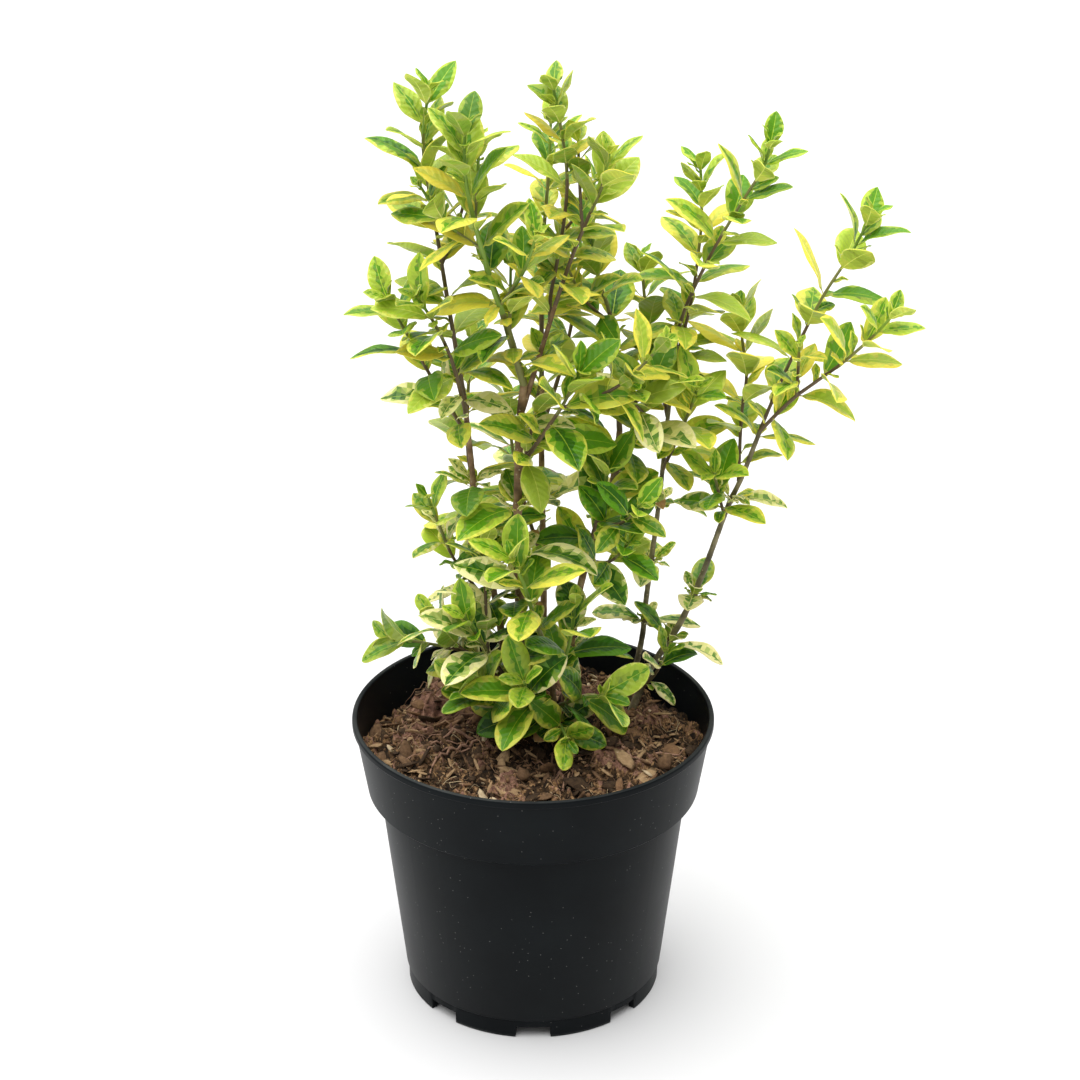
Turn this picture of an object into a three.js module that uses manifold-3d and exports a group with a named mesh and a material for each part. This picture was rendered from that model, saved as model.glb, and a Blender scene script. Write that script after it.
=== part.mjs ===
// A variegated common privet in a two litre nursery pot: slender stems from one root ball,
// boughs that end where their foliage starts, and foliage grown by a seeded rule.
// Millimetres, +Z up, the front of the pot faces -Y, the origin is the middle of the pot's underside.
import * as THREE from "three";
import { mergeVertices } from "three/addons/utils/BufferGeometryUtils.js";
import Module from "manifold-3d";

const wasm = await Module();
wasm.setup();

// Pot
const POT_HEIGHT = 141.6;
const RIM_RADIUS = 85;
const LIP_HEIGHT = 3.6;
const COLLAR_FOOT = 105.5;
const COLLAR_FOOT_RADIUS = 78.4;
const COLLAR_TOP_RADIUS = 83.7;
const BODY_TOP_RADIUS = 72.7;
const BODY_FOOT_RADIUS = 61.9;
const FOOT_RING_HEIGHT = 9.8;
const FOOT_RADIUS = 60.8;
const POT_WALL = 1.8;
const POT_FLOOR = 2;
const CHANNEL_HEIGHT = 8;
const CHANNEL_IN = 47;
const CHANNEL_OUT = 57;
const NOTCH_COUNT = 8;
const NOTCH_WIDTH = 16.5;
const NOTCH_HEIGHT = 6;
const POT_SEGMENTS = 32;

// Soil
const SOIL_LEVEL = 126;
const SOIL_MOUND = 3.5;
const SOIL_SEGMENTS = POT_SEGMENTS;
const SOIL_RINGS = 4;
const HOLLOWS = [
  { angle: 148, radius: 74, wide: 26, deep: 7 },
  { angle: 40, radius: 76, wide: 20, deep: 4 },
];
const STEM_SUNK = 3;
const ROOT_FLARE = 0.45;

// Gap between neighbouring solids, and the extra room that every leaf keeps around it
const GAP = 0.35;
const CLEAR = 0.45;

// Edges shorter than this are closed up after a join
const SHORTEST_EDGE = 0.02;

// Simple leaf
const ROOT_DEPTH = 0.35;
const LEAF_THICK = 0.6;
const WIDEST = 0.47;
const SMALLEST = 18;

// Sides of a bough's and of a leafy stem's section, and the smooth steps between route points
const LIMB_SIDES = 6;
const TWIG_SIDES = 3;
const ROUTE_STEPS = 6;

// Radii of a leafy shoot's tip, and of a side twig's foot and tip
const SHOOT_TIP = 0.65;
const TWIG_FOOT = 0.85;
const TWIG_TIP = 0.6;

const GOLD = "gold";
const LIME = "lime";
const CREAM = "cream";
const DARK = "dark";
const TINTS = { gold: "#b9c63f", lime: "#7fb23a", cream: "#9db36b", dark: "#3f7a2c" };

// Bare stems and boughs: a route through the middle, the foot radius, the tip radius, and the stem it leaves.
const LIMBS = {
  stem_left: { route: [[-9, 20, 118], [-16, 21, 180], [-25, 18, 230], [-29, 12, 275], [-31, 10, 298]], r0: 1.9, r1: 1.2 },
  stem_centre: { route: [[0, 12, 118], [-6, 10, 195], [-7, 7, 235], [-6, 5, 282], [-4, 2, 306]], r0: 2.4, r1: 1.8 },
  stem_back: { route: [[4, 34, 118], [5, 40, 180], [4, 41, 249], [4, 42, 292]], r0: 1.8, r1: 1.3 },
  stem_inner: { route: [[14, 24, 118], [20, 30, 180], [29, 32, 218], [36, 33, 239], [40, 35, 270]], r0: 2.0, r1: 1.4 },
  stem_mid_right: { route: [[44, 40, 118], [52, 44, 156], [54, 43, 180], [59, 39, 232], [62, 35, 275], [64, 34, 296]], r0: 1.5, r1: 0.95 },
  stem_right: { route: [[44, 27, 118], [55, 31, 146], [70, 33, 172], [80, 31, 199], [90, 28, 233], [97, 26, 252], [104, 25, 274]], r0: 1.8, r1: 1.05 },
  stem_front: { route: [[12, 6, 118], [10, 2, 140], [9, -3, 156], [5, -8, 182]], r0: 1.7, r1: 1.2 },
  bough_top_right: { route: [[-6, 4, 288], [2, 3, 316], [10, 2, 344]], r0: 1.3, r1: 1.0, from: "stem_centre" },
};

// Leafy shoots: the limb each leaves, its route, foot radius, pitch of its leaf pairs, longest leaf,
// turn of its first pair, share of nodes with a side twig, size of the leaves at its tip, and tint.
const SHOOTS = {
  top_left: { limb: "stem_left", route: [[-31, 10, 298], [-37, 7, 340], [-42, 5, 377], [-47, 2, 415], [-44, 0, 442]], r0: 1.1, pitch: 19, leaf: 33, turn: 50, twigs: 0.35, tip: 0.6, tint: LIME },
  left_low: { limb: "stem_left", route: [[-29, 12, 276], [-43, 5, 304], [-54, 0, 328], [-64, -6, 350]], r0: 1.0, pitch: 16, leaf: 29, turn: 0, twigs: 0.2, tip: 0.7, tint: LIME },
  left_high: { limb: "stem_left", route: [[-30, 11, 288], [-36, -3, 320], [-43, -13, 341], [-50, -21, 356]], r0: 1.1, pitch: 16, leaf: 32, turn: 60, twigs: 0.2, tip: 0.6, tint: LIME },
  top_front: { limb: "stem_centre", route: [[-4, 2, 306], [-9, -3, 327], [-13, -8, 343], [-20, -15, 368], [-28, -24, 408], [-28, -27, 433]], r0: 1.8, pitch: 18, leaf: 34, turn: 70, twigs: 0.6, tip: 0.65, tint: GOLD },
  top_centre: { limb: "bough_top_right", route: [[10, 2, 344], [17, 1, 366], [24, 1, 384], [30, 0, 399], [33, 0, 414]], r0: 1.0, pitch: 15, leaf: 31, turn: 30, twigs: 0.3, tip: 0.6, tint: GOLD },
  top_spire: { limb: "bough_top_right", route: [[7.6, 2.3, 336], [8, 9, 346], [11, 11, 362], [14, 10, 382], [15, 9, 400], [13, 8, 418], [9, 8, 440]], r0: 0.9, pitch: 15, leaf: 27, turn: 75, twigs: 0, tip: 0.6, tint: LIME },
  top_back: { limb: "stem_back", route: [[4, 42, 292], [4, 43, 342], [5, 44, 364], [7, 44, 390], [8, 45, 414]], r0: 1.2, pitch: 19, leaf: 29, turn: 14, twigs: 0.45, tip: 0.5, tint: GOLD },
  inner_top: { limb: "stem_inner", route: [[40, 35, 270], [38, 36, 300], [35, 37, 326], [30, 38, 342], [27, 40, 362]], r0: 1.4, pitch: 16, leaf: 34, turn: 50, twigs: 0.5, tip: 0.5, tint: GOLD },
  top_right: { limb: "stem_mid_right", route: [[64, 34, 296], [67, 32, 325], [79, 28, 357], [93, 24, 385], [101, 22, 400], [104, 20, 413]], r0: 0.9, pitch: 17, leaf: 31, turn: 80, twigs: 0.1, tip: 0.5, tint: LIME },
  right_back_tip: { limb: "stem_mid_right", route: [[62.7, 34.7, 284], [66, 41, 304], [71, 42, 325], [74, 43, 345], [76, 44, 370], [75, 47, 394]], r0: 0.8, pitch: 17, leaf: 30, turn: 30, twigs: 0.1, tip: 0.5, tint: LIME },
  right_out: { limb: "stem_right", route: [[104, 25, 274], [117, 20, 291], [128, 16, 302], [140, 11, 314], [152, 5, 329], [159, 2, 339]], r0: 1.0, pitch: 17, leaf: 31, turn: 15, twigs: 0.1, tip: 0.5, tint: GOLD },
  right_up: { limb: "stem_right", route: [[99, 26, 259], [110, 30, 288], [123, 31, 320], [132, 32, 339], [143, 34, 357], [151, 35, 374]], r0: 0.9, pitch: 21, leaf: 33, turn: 80, twigs: 0, tip: 0.6, tint: LIME },
  right_inner: { limb: "stem_right", route: [[95, 27, 248], [96, 34, 278], [98, 38, 296], [96, 42, 311], [94, 46, 326]], r0: 0.85, pitch: 15, leaf: 32, turn: 70, twigs: 0, tip: 0.6, tint: GOLD },
  right_small: { limb: "stem_right", route: [[89, 28, 230], [86, 21, 243], [83, 15, 257]], r0: 0.8, pitch: 12, leaf: 27, turn: 60, twigs: 0, tip: 0.8, tint: LIME },
  mid_right_low: { limb: "stem_mid_right", route: [[60, 38, 248], [66, 28, 268], [71, 21, 285], [74, 16, 298]], r0: 1.0, pitch: 14, leaf: 29, turn: 40, twigs: 0, tip: 0.7, tint: GOLD },
  front_top: { limb: "stem_front", route: [[5, -8, 182], [0, -14, 200], [-4, -19, 217], [-9, -24, 232]], r0: 1.2, pitch: 15, leaf: 34, turn: 70, twigs: 0.3, tip: 0.6, tint: LIME },
  front_foot: { limb: "stem_front", route: [[11, 4, 134], [13, -11, 140], [16, -27, 141]], r0: 1.0, pitch: 12, leaf: 27, turn: 40, twigs: 0, tip: 0.6, tint: DARK },
  front_side: { limb: "stem_front", route: [[10, 2, 143], [22, -6, 152], [33, -13, 157]], r0: 1.0, pitch: 12, leaf: 31, turn: 20, twigs: 0, tip: 0.8, tint: DARK },
  front_low: { limb: "stem_front", route: [[11, 4.3, 133], [4, -8, 145], [-1, -18, 158], [-4, -26, 171]], r0: 1.0, pitch: 13, leaf: 34, turn: 0, twigs: 0, tip: 0.8, tint: DARK },
  front_mid: { limb: "stem_front", route: [[9, -3, 158], [15, -10, 176], [18, -14, 192], [19, -16, 204]], r0: 1.0, pitch: 14, leaf: 34, turn: 10, twigs: 0.3, tip: 0.7, tint: LIME },
  left_foot: { limb: "stem_centre", route: [[-1, 12, 138], [-10, 3, 154], [-17, -3, 168], [-24, -10, 184], [-31, -16, 199]], r0: 1.2, pitch: 15, leaf: 35, turn: 60, twigs: 0.3, tip: 0.6, tint: CREAM },
  left_front: { limb: "stem_centre", route: [[-0.8, 12, 131], [-11, 1, 142], [-20, -8, 152], [-27, -15, 162]], r0: 1.0, pitch: 13, leaf: 33, turn: 20, twigs: 0, tip: 0.8, tint: DARK },
  left_side: { limb: "stem_left", route: [[-11, 20, 142], [-20, 16, 158], [-33, 11, 168], [-49, 7, 174], [-66, 3, 179]], r0: 1.0, pitch: 17, leaf: 27, turn: 90, twigs: 0, tip: 1.0, tint: CREAM },
  left_small: { limb: "stem_left", route: [[-16, 21, 182], [-27, 20, 197], [-37, 16, 214], [-43, 12, 232], [-48, 9, 248]], r0: 0.9, pitch: 15, leaf: 25, turn: 30, twigs: 0, tip: 0.7, tint: LIME },
  right_foot: { limb: "stem_right", route: [[52.3, 30, 138], [59, 25, 150], [63, 22, 162]], r0: 0.9, pitch: 12, leaf: 20, turn: 50, twigs: 0, tip: 0.7, tint: CREAM },
  centre_front: { limb: "stem_centre", route: [[-7, 7, 262], [5, -6, 286], [14, -14, 304], [20, -19, 320]], r0: 1.2, pitch: 15, leaf: 37, turn: 20, twigs: 0.4, tip: 0.7, tint: LIME },
  centre_mid: { limb: "stem_inner", route: [[24, 31, 200], [28, 19, 226], [32, 10, 246], [34, 4, 264]], r0: 1.1, pitch: 15, leaf: 33, turn: 35, twigs: 0.4, tip: 0.7, tint: DARK },
  centre_right: { limb: "stem_inner", route: [[37, 33, 245], [45, 22, 270], [51, 14, 290], [54, 9, 306]], r0: 1.1, pitch: 15, leaf: 36, turn: 60, twigs: 0.3, tip: 0.7, tint: LIME },
  back_low: { limb: "stem_back", route: [[5, 40, 200], [-4, 54, 224], [-10, 64, 250], [-12, 70, 274]], r0: 1.1, pitch: 18, leaf: 32, turn: 20, twigs: 0.3, tip: 0.5, tint: CREAM },
  back_high: { limb: "stem_back", route: [[4, 42, 268], [14, 57, 296], [20, 67, 324], [22, 73, 350]], r0: 1.1, pitch: 18, leaf: 32, turn: 45, twigs: 0.3, tip: 0.5, tint: LIME },
  back_left: { limb: "stem_left", route: [[-26, 17, 240], [-30, 30, 262], [-30, 42, 286], [-28, 50, 310]], r0: 1.1, pitch: 18, leaf: 31, turn: 65, twigs: 0, tip: 0.5, tint: GOLD },
  back_right: { limb: "stem_mid_right", route: [[62, 35, 277], [57, 50, 298], [52, 62, 322], [50, 68, 344]], r0: 1.0, pitch: 18, leaf: 31, turn: 25, twigs: 0.3, tip: 0.5, tint: LIME },
};

// Leaves that sit straight on a bare stem: the heights of their nodes, the longest leaf, the turn of the first pair.
const PAIRS = {
  stem_left: { heights: [172, 204, 226, 252], leaf: 34, turn: 80, tint: CREAM },
  stem_centre: { heights: [174, 196, 220, 244, 284], leaf: 36, turn: 60, tint: CREAM },
  stem_back: { heights: [232], leaf: 33, turn: 85, tint: CREAM },
  stem_inner: { heights: [160, 226], leaf: 30, turn: 75, tint: CREAM },
  stem_mid_right: { heights: [168, 200, 232], leaf: 23, turn: 85, tint: CREAM },
  stem_right: { heights: [163, 188, 239], leaf: 25, turn: 75, tint: CREAM },
};

const { cos, sin, sqrt, hypot, min, max, PI, floor } = Math;
const rad = (degrees) => (degrees * PI) / 180;
const add = (a, b, k = 1) => [a[0] + b[0] * k, a[1] + b[1] * k, a[2] + b[2] * k];
const sub = (a, b) => [a[0] - b[0], a[1] - b[1], a[2] - b[2]];
const dot = (a, b) => a[0] * b[0] + a[1] * b[1] + a[2] * b[2];
const cross = (a, b) => [a[1] * b[2] - a[2] * b[1], a[2] * b[0] - a[0] * b[2], a[0] * b[1] - a[1] * b[0]];
const scale = (a, k) => [a[0] * k, a[1] * k, a[2] * k];
const unit = (a) => scale(a, 1 / sqrt(dot(a, a)));
const mix = (a, ka, b, kb) => add(scale(a, ka), b, kb);

// A random source that gives the same numbers each time.
function seeded(seed) {
  let state = (seed * 2654435761 + 97) % 4294967296;
  return () => {
    state = (state * 1664525 + 1013904223) % 4294967296;
    return state / 4294967296;
  };
}

// Places along a smooth curve through the points, and the length run at each.
function smoothRoute(points) {
  const last = points.length - 1;
  const line = [];
  for (let i = 0; i < last; i++) {
    const a = points[max(i - 1, 0)], b = points[i], c = points[i + 1], d = points[min(i + 2, last)];
    for (let k = 0; k < ROUTE_STEPS; k++) {
      const t = k / ROUTE_STEPS;
      line.push([0, 1, 2].map((n) => 0.5 * (2 * b[n] + (c[n] - a[n]) * t
        + (2 * a[n] - 5 * b[n] + 4 * c[n] - d[n]) * t * t
        + (3 * b[n] - a[n] - 3 * c[n] + d[n]) * t * t * t)));
    }
  }
  line.push(points[last]);
  const run = [0];
  for (let i = 1; i < line.length; i++) run.push(run[i - 1] + hypot(...sub(line[i], line[i - 1])));
  return { line, run, total: run[run.length - 1] };
}

// The place and the heading of a route at a length run.
function along(route, distance) {
  let i = 0;
  while (i < route.run.length - 2 && route.run[i + 1] < distance) i++;
  const step = sub(route.line[i + 1], route.line[i]);
  const share = (distance - route.run[i]) / (route.run[i + 1] - route.run[i]);
  return { place: add(route.line[i], step, share), heading: unit(step) };
}

// Two directions square to a heading and to each other.
function across(heading) {
  const ref = Math.abs(heading[1]) < 0.85 ? [0, 1, 0] : [1, 0, 0];
  const first = unit(add(ref, heading, -dot(ref, heading)));
  return [first, cross(heading, first)];
}

function outward(heading, azimuth) {
  const [first, second] = across(heading);
  return mix(first, cos(rad(azimuth)), second, sin(rad(azimuth)));
}

// Direction, upper face and side of a leaf that leaves a shoot at an angle; the face turns up to the light.
function leafFrame(heading, azimuth, spread, roll) {
  const out = outward(heading, azimuth);
  const way = mix(heading, cos(rad(spread)), out, sin(rad(spread)));
  let face = mix(heading, sin(rad(spread)), out, -cos(rad(spread)));
  const light = add([0, 0, 1], way, -way[2]);
  face = add(face, light, 0.35);
  face = unit(add(face, way, -dot(face, way)));
  const side = cross(way, face);
  face = unit(mix(face, cos(rad(roll)), side, sin(rad(roll))));
  return { way, face, side: cross(way, face) };
}

// The place, heading and upper face at a length along a leaf's arched midrib.
function leafPoint(leaf, distance) {
  const turn = (rad(leaf.arch) * distance) / leaf.length;
  const radius = leaf.length / rad(leaf.arch);
  return {
    place: add(add(leaf.root, leaf.way, radius * sin(turn)), leaf.face, -radius * (1 - cos(turn))),
    heading: mix(leaf.way, cos(turn), leaf.face, -sin(turn)),
    face: mix(leaf.face, cos(turn), leaf.way, sin(turn)),
  };
}

// The five corners of the simple leaf: root, left and right edge, keel of the folded underside, tip.
function leafCorners(leaf, grow = 0) {
  const mid = leafPoint(leaf, leaf.length * WIDEST);
  const tip = leafPoint(leaf, leaf.length);
  const half = leaf.width / 2 + grow;
  const edge = add(mid.place, mid.face, half * sin(rad(leaf.fold)));
  const spread = half * cos(rad(leaf.fold));
  const keel = max(LEAF_THICK, half * sin(rad(leaf.fold))) + grow;
  return [
    add(leaf.root, leaf.way, -ROOT_DEPTH),
    add(edge, leaf.side, -spread), add(edge, leaf.side, spread),
    add(edge, mid.face, -keel),
    add(tip.place, tip.heading, grow),
  ];
}

const LEAF_FACES = [[0, 2, 1], [1, 2, 4], [0, 3, 2], [0, 1, 3], [3, 4, 2], [3, 1, 4]];
const BLOCK_FACES = [[0, 1, 5], [0, 5, 4], [1, 2, 6], [1, 6, 5], [2, 3, 7], [2, 7, 6], [3, 0, 4], [3, 4, 7], [0, 2, 1], [0, 3, 2], [4, 5, 6], [4, 6, 7]];

function edgesOf(faces) {
  const edges = [];
  for (const f of faces) for (let i = 0; i < 3; i++) if (f[i] < f[(i + 1) % 3]) edges.push([f[i], f[(i + 1) % 3]]);
  return edges;
}
const LEAF_EDGES = edgesOf(LEAF_FACES);
const BLOCK_EDGES = edgesOf(BLOCK_FACES);

// A closed outline kept for the test of what touches what.
function outlineOf(corners, faces, edges, tag) {
  const centre = scale(corners.reduce((a, b) => add(a, b), [0, 0, 0]), 1 / corners.length);
  const reach = max(...corners.map((c) => hypot(...sub(c, centre))));
  return { corners, faces, edges, tag, centre, reach };
}

// Whether an edge of one outline passes through a face of the other.
function pierces(a, b) {
  for (const [m, n] of a.edges) {
    const p = a.corners[m], d = sub(a.corners[n], p);
    for (const [i, j, k] of b.faces) {
      const e1 = sub(b.corners[j], b.corners[i]), e2 = sub(b.corners[k], b.corners[i]);
      const h = cross(d, e2), det = dot(e1, h);
      if (Math.abs(det) < 1e-12) continue;
      const s = sub(p, b.corners[i]), u = dot(s, h) / det;
      if (u < 0 || u > 1) continue;
      const q = cross(s, e1), v = dot(d, q) / det;
      if (v < 0 || u + v > 1) continue;
      const t = dot(e2, q) / det;
      if (t >= 0 && t <= 1) return true;
    }
  }
  return false;
}

function touches(outline, others, ignore) {
  for (const other of others) {
    if (ignore.has(other.tag)) continue;
    if (hypot(...sub(other.centre, outline.centre)) >= other.reach + outline.reach) continue;
    if (pierces(outline, other) || pierces(other, outline)) return true;
  }
  return false;
}

// Square blocks along a stem, a little fatter than it.
function blocksAlong(route, r0, r1, tag, steps) {
  const rings = [];
  for (let i = 0; i <= steps; i++) {
    const { place, heading } = along(route, (route.total * i) / steps);
    const [n, b] = across(heading);
    const r = r0 + ((r1 - r0) * i) / steps + CLEAR;
    rings.push([add(place, n, r), add(place, b, r), add(place, n, -r), add(place, b, -r)]);
  }
  return rings.slice(1).map((ring, i) => outlineOf([...rings[i], ...ring], BLOCK_FACES, BLOCK_EDGES, tag));
}

// A leaf must stay off the soil, the rim and the outside of the pot.
function meetsPot(corners) {
  return corners.slice(1).some(([x, y, z]) => {
    const r = hypot(x, y);
    if (z < SOIL_LEVEL + 5 && r < RIM_RADIUS) return true;
    if (r > RIM_RADIUS - 8 && r < RIM_RADIUS + 2 && z < POT_HEIGHT + 2) return true;
    return z < POT_HEIGHT && r >= RIM_RADIUS;
  });
}

// Leaf size along a shoot, as a share of its longest leaf.
const sizeShare = (u, tip) => (u < 0.5 ? 0.82 + 0.36 * u : 1 - (1 - tip) * ((u - 0.5) / 0.5) ** 1.6);

// Turns, tilts and sizes that a leaf tries until it touches nothing.
const TRIES = [[0, 0, 1], [16, -8, 1], [-16, 8, 1], [0, -20, 0.95], [32, 0, 0.88], [-32, 0, 0.88], [0, 24, 0.85], [20, -25, 0.75], [-20, -25, 0.7]];

const stems = {};
const leaves = [];
const outlines = [];

function addLeaf(spot, azimuth, spread, length, draws, ignore) {
  const roll = (draws[2] - 0.5) * 34;
  for (const [turn, tilt, share] of TRIES) {
    const leaf = {
      node: spot.node, root: spot.place, tip: spot.u === 1 && spot.key.startsWith(`${spot.node}_`) && !spot.key.includes("_t"),
      ...leafFrame(spot.heading, azimuth + turn + (draws[0] - 0.5) * 26, spread + tilt + (draws[1] - 0.5) * 18, roll),
      length: length * share * (0.88 + 0.24 * draws[3]),
      fold: 10 + 16 * draws[4],
      arch: 18 + 52 * draws[5] * (1 - 0.5 * spot.u),
    };
    leaf.width = leaf.length * (0.43 + 0.09 * draws[4]);
    const outline = outlineOf(leafCorners(leaf, CLEAR), LEAF_FACES, LEAF_EDGES, spot.key);
    if (meetsPot(outline.corners) || touches(outline, outlines, ignore)) continue;
    outlines.push(outline);
    leaves.push(leaf);
    return;
  }
}

const sixDraws = (draw) => [draw(), draw(), draw(), draw(), draw(), draw()];

// Leaf pairs up a shoot, each at right angles to the last, closer and smaller towards the tip.
function growShoot(node, name, route, row, twigs, draw, ignore, first) {
  const { pitch, leaf, turn, tip } = row;
  let s = first, k = 0;
  for (; s < route.total - 1; k++) {
    const u = s / route.total;
    const { place, heading } = along(route, s);
    const keys = [`${name}_${k}_0`, `${name}_${k}_1`];
    for (const side of [0, 1]) {
      const spot = { node, place, heading, u, key: keys[side] };
      addLeaf(spot, turn + 90 * k + 180 * side, 62 - 36 * u ** 1.6, leaf * sizeShare(u, tip), sixDraws(draw), new Set([name, ...ignore, ...keys]));
    }
    if (draw() < twigs && u > 0.1 && u < 0.75) {
      const azimuth = turn + 90 * k + (draw() < 0.5 ? 180 : 0);
      growTwig(node, `${name}_t${k}`, place, heading, azimuth, leaf, draw, [name, ...keys]);
    }
    s += max(pitch * (1 - 0.62 * u ** 1.5), 3);
  }
  const { place, heading } = along(route, route.total);
  const keys = [`${name}_${k}_0`, `${name}_${k}_1`, `${name}_${k - 1}_0`, `${name}_${k - 1}_1`];
  for (const side of [0, 1]) {
    const spot = { node, place: add(place, heading, -1), heading, u: 1, key: keys[side] };
    addLeaf(spot, turn + 90 * k + 180 * side, 17 + 14 * tip, leaf * 0.55 * tip, sixDraws(draw), new Set([name, ...ignore, ...keys]));
  }
}

// A side twig with smaller leaves, left out where it would touch anything.
function growTwig(node, name, place, heading, azimuth, leaf, draw, ignore) {
  const length = leaf * (0.9 + 0.7 * draw());
  const way = mix(heading, 0.72, outward(heading, azimuth), 0.69);
  const mid = add(place, unit(way), length * 0.5);
  const end = add(place, unit(add(way, [0, 0, 0.25])), length);
  const route = smoothRoute([place, mid, end]);
  const blocks = blocksAlong(route, TWIG_FOOT, TWIG_TIP, name, 3);
  const skip = new Set([name, ...ignore]);
  if (meetsPot([end, end, end]) || blocks.some((b) => touches(b, outlines, skip))) return;
  outlines.push(...blocks);
  stems[name] = { node, route, r0: TWIG_FOOT, r1: TWIG_TIP };
  growShoot(node, name, route, { pitch: 13, leaf: leaf * 0.74, turn: azimuth + 45, tip: 0.5 }, 0, draw, ignore, 9);
}

// A stem as rings of points joined into one closed solid.
function stemSolid(route, radius, sides, from, to, steps) {
  const points = [], faces = [];
  for (let i = 0; i <= steps; i++) {
    const s = from + ((to - from) * i) / steps;
    const { place, heading } = along(route, s);
    for (let k = 0; k < sides; k++) points.push(add(place, outward(heading, (360 * k) / sides), radius(s)));
  }
  for (let i = 0; i < steps; i++)
    for (let k = 0; k < sides; k++) {
      const a = i * sides + k, b = i * sides + ((k + 1) % sides);
      faces.push([a, b, b + sides], [a, b + sides, a + sides]);
    }
  const top = steps * sides;
  for (let k = 1; k < sides - 1; k++) faces.push([0, k + 1, k], [top, top + k, top + k + 1]);
  return closedSolid(points, faces);
}

function closedSolid(points, faces) {
  return new wasm.Manifold(new wasm.Mesh({
    numProp: 3,
    vertProperties: new Float32Array(points.flat()),
    triVerts: new Uint32Array(faces.flat()),
  }));
}

// The first length run at which a stem's cut end stands clear of the limb that it leaves.
function clearStart(route, radius, sides, limb) {
  const { line, run, total } = limb.route;
  const clearOf = (q) => {
    let best = Infinity, ok = true;
    for (let i = 1; i < line.length; i++) {
      const step = sub(line[i], line[i - 1]);
      const t = dot(sub(q, line[i - 1]), step) / dot(step, step);
      const held = min(max(t, 0), 1);
      const d = hypot(...sub(q, add(line[i - 1], step, held)));
      if (d >= best) continue;
      best = d;
      const s = run[i - 1] + (run[i] - run[i - 1]) * held;
      const past = i === line.length - 1 && t > 1 ? (t - 1) * hypot(...step) : 0;
      const side = past ? sqrt(max(d * d - past * past, 0)) : d;
      ok = past >= GAP || side >= limb.radius(s) + GAP;
    }
    return ok;
  };
  for (let s = 0; s < route.total / 2; s += 0.1) {
    const { place, heading } = along(route, s);
    const ring = [place];
    for (let k = 0; k < sides * 4; k++) ring.push(add(place, outward(heading, (90 * k) / sides), radius(s)));
    if (ring.every(clearOf)) return s;
  }
  return 0;
}

// Growth: all limbs first, then the leafy stems, then their leaves, then the pairs on bare stems.
for (const [name, limb] of Object.entries(LIMBS)) {
  const route = smoothRoute(limb.route);
  const radius = (s) => limb.r0 + ((limb.r1 - limb.r0) * s) / route.total
    + (limb.from ? 0 : ROOT_FLARE * limb.r0 * Math.exp(-s / 9));
  stems[name] = { node: name, route, radius };
  outlines.push(...blocksAlong(route, limb.r0, limb.r1, name, 10));
}
for (const [name, shoot] of Object.entries(SHOOTS)) {
  const route = smoothRoute(shoot.route);
  stems[name] = { node: name, route, r0: shoot.r0, r1: SHOOT_TIP };
  outlines.push(...blocksAlong(route, shoot.r0, SHOOT_TIP, name, 8));
}
Object.entries(SHOOTS).forEach(([name, shoot], i) => {
  growShoot(name, name, stems[name].route, shoot, shoot.twigs, seeded(i + 11), [], shoot.pitch * 0.55);
});

const nodalRings = [];
Object.entries(PAIRS).forEach(([name, row], index) => {
  const draw = seeded(index + 101);
  const limb = stems[name];
  row.heights.forEach((height, k) => {
    const { line, run } = limb.route;
    const i = line.findIndex((p) => p[2] >= height);
    const s = run[i - 1] + ((run[i] - run[i - 1]) * (height - line[i - 1][2])) / (line[i][2] - line[i - 1][2]);
    const { place, heading } = along(limb.route, s);
    const node = `${name.replace("stem_", "")}_pair_${k + 1}`;
    const keys = [0, 1, 2, 3].map((n) => `${node}_${n}`);
    nodalRings.push({ node, route: limb.route, s, radius: limb.radius(s) });
    for (const part of [0, 1])
      for (const side of [0, 1]) {
        const azimuth = row.turn + 90 * k + 180 * side + (part ? 55 : 0);
        const root = add(place, outward(heading, azimuth), limb.radius(s) + 0.95);
        const spot = { node, place: root, heading, u: 0.2, key: keys[part * 2 + side] };
        addLeaf(spot, azimuth, part ? 48 : 66, row.leaf * (part ? 0.42 : 1), sixDraws(draw), new Set([name, ...keys]));
      }
  });
});

// The height of the soil: a low mound with uneven lumps, and a gap behind the root ball on each side.
function soilHeight(x, y) {
  const r = hypot(x, y);
  let z = SOIL_LEVEL + SOIL_MOUND * Math.exp(-((r / 48) ** 2));
  z += 1.1 * sin(x * 0.16 + 1) * cos(y * 0.13) + 0.7 * sin(x * 0.31 - y * 0.27);
  for (const { angle, radius, wide, deep } of HOLLOWS) {
    const d = hypot(x - radius * cos(rad(angle)), y - radius * sin(rad(angle)));
    z -= deep * Math.exp(-((d / wide) ** 2));
  }
  return max(z, COLLAR_FOOT + 4);
}

function potInside(z) {
  if (z > COLLAR_FOOT) return COLLAR_FOOT_RADIUS - POT_WALL + ((COLLAR_TOP_RADIUS - COLLAR_FOOT_RADIUS) * (z - COLLAR_FOOT)) / (POT_HEIGHT - LIP_HEIGHT - COLLAR_FOOT);
  return BODY_FOOT_RADIUS - POT_WALL + ((BODY_TOP_RADIUS - BODY_FOOT_RADIUS) * (z - FOOT_RING_HEIGHT)) / (COLLAR_FOOT - 2 - FOOT_RING_HEIGHT);
}

function solidOf(geometry) {
  geometry.deleteAttribute("normal");
  geometry.deleteAttribute("uv");
  const merged = mergeVertices(geometry, 1e-4);
  return new wasm.Manifold(new wasm.Mesh({
    numProp: 3,
    vertProperties: merged.attributes.position.array,
    triVerts: new Uint32Array(merged.index.array),
  }));
}

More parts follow.
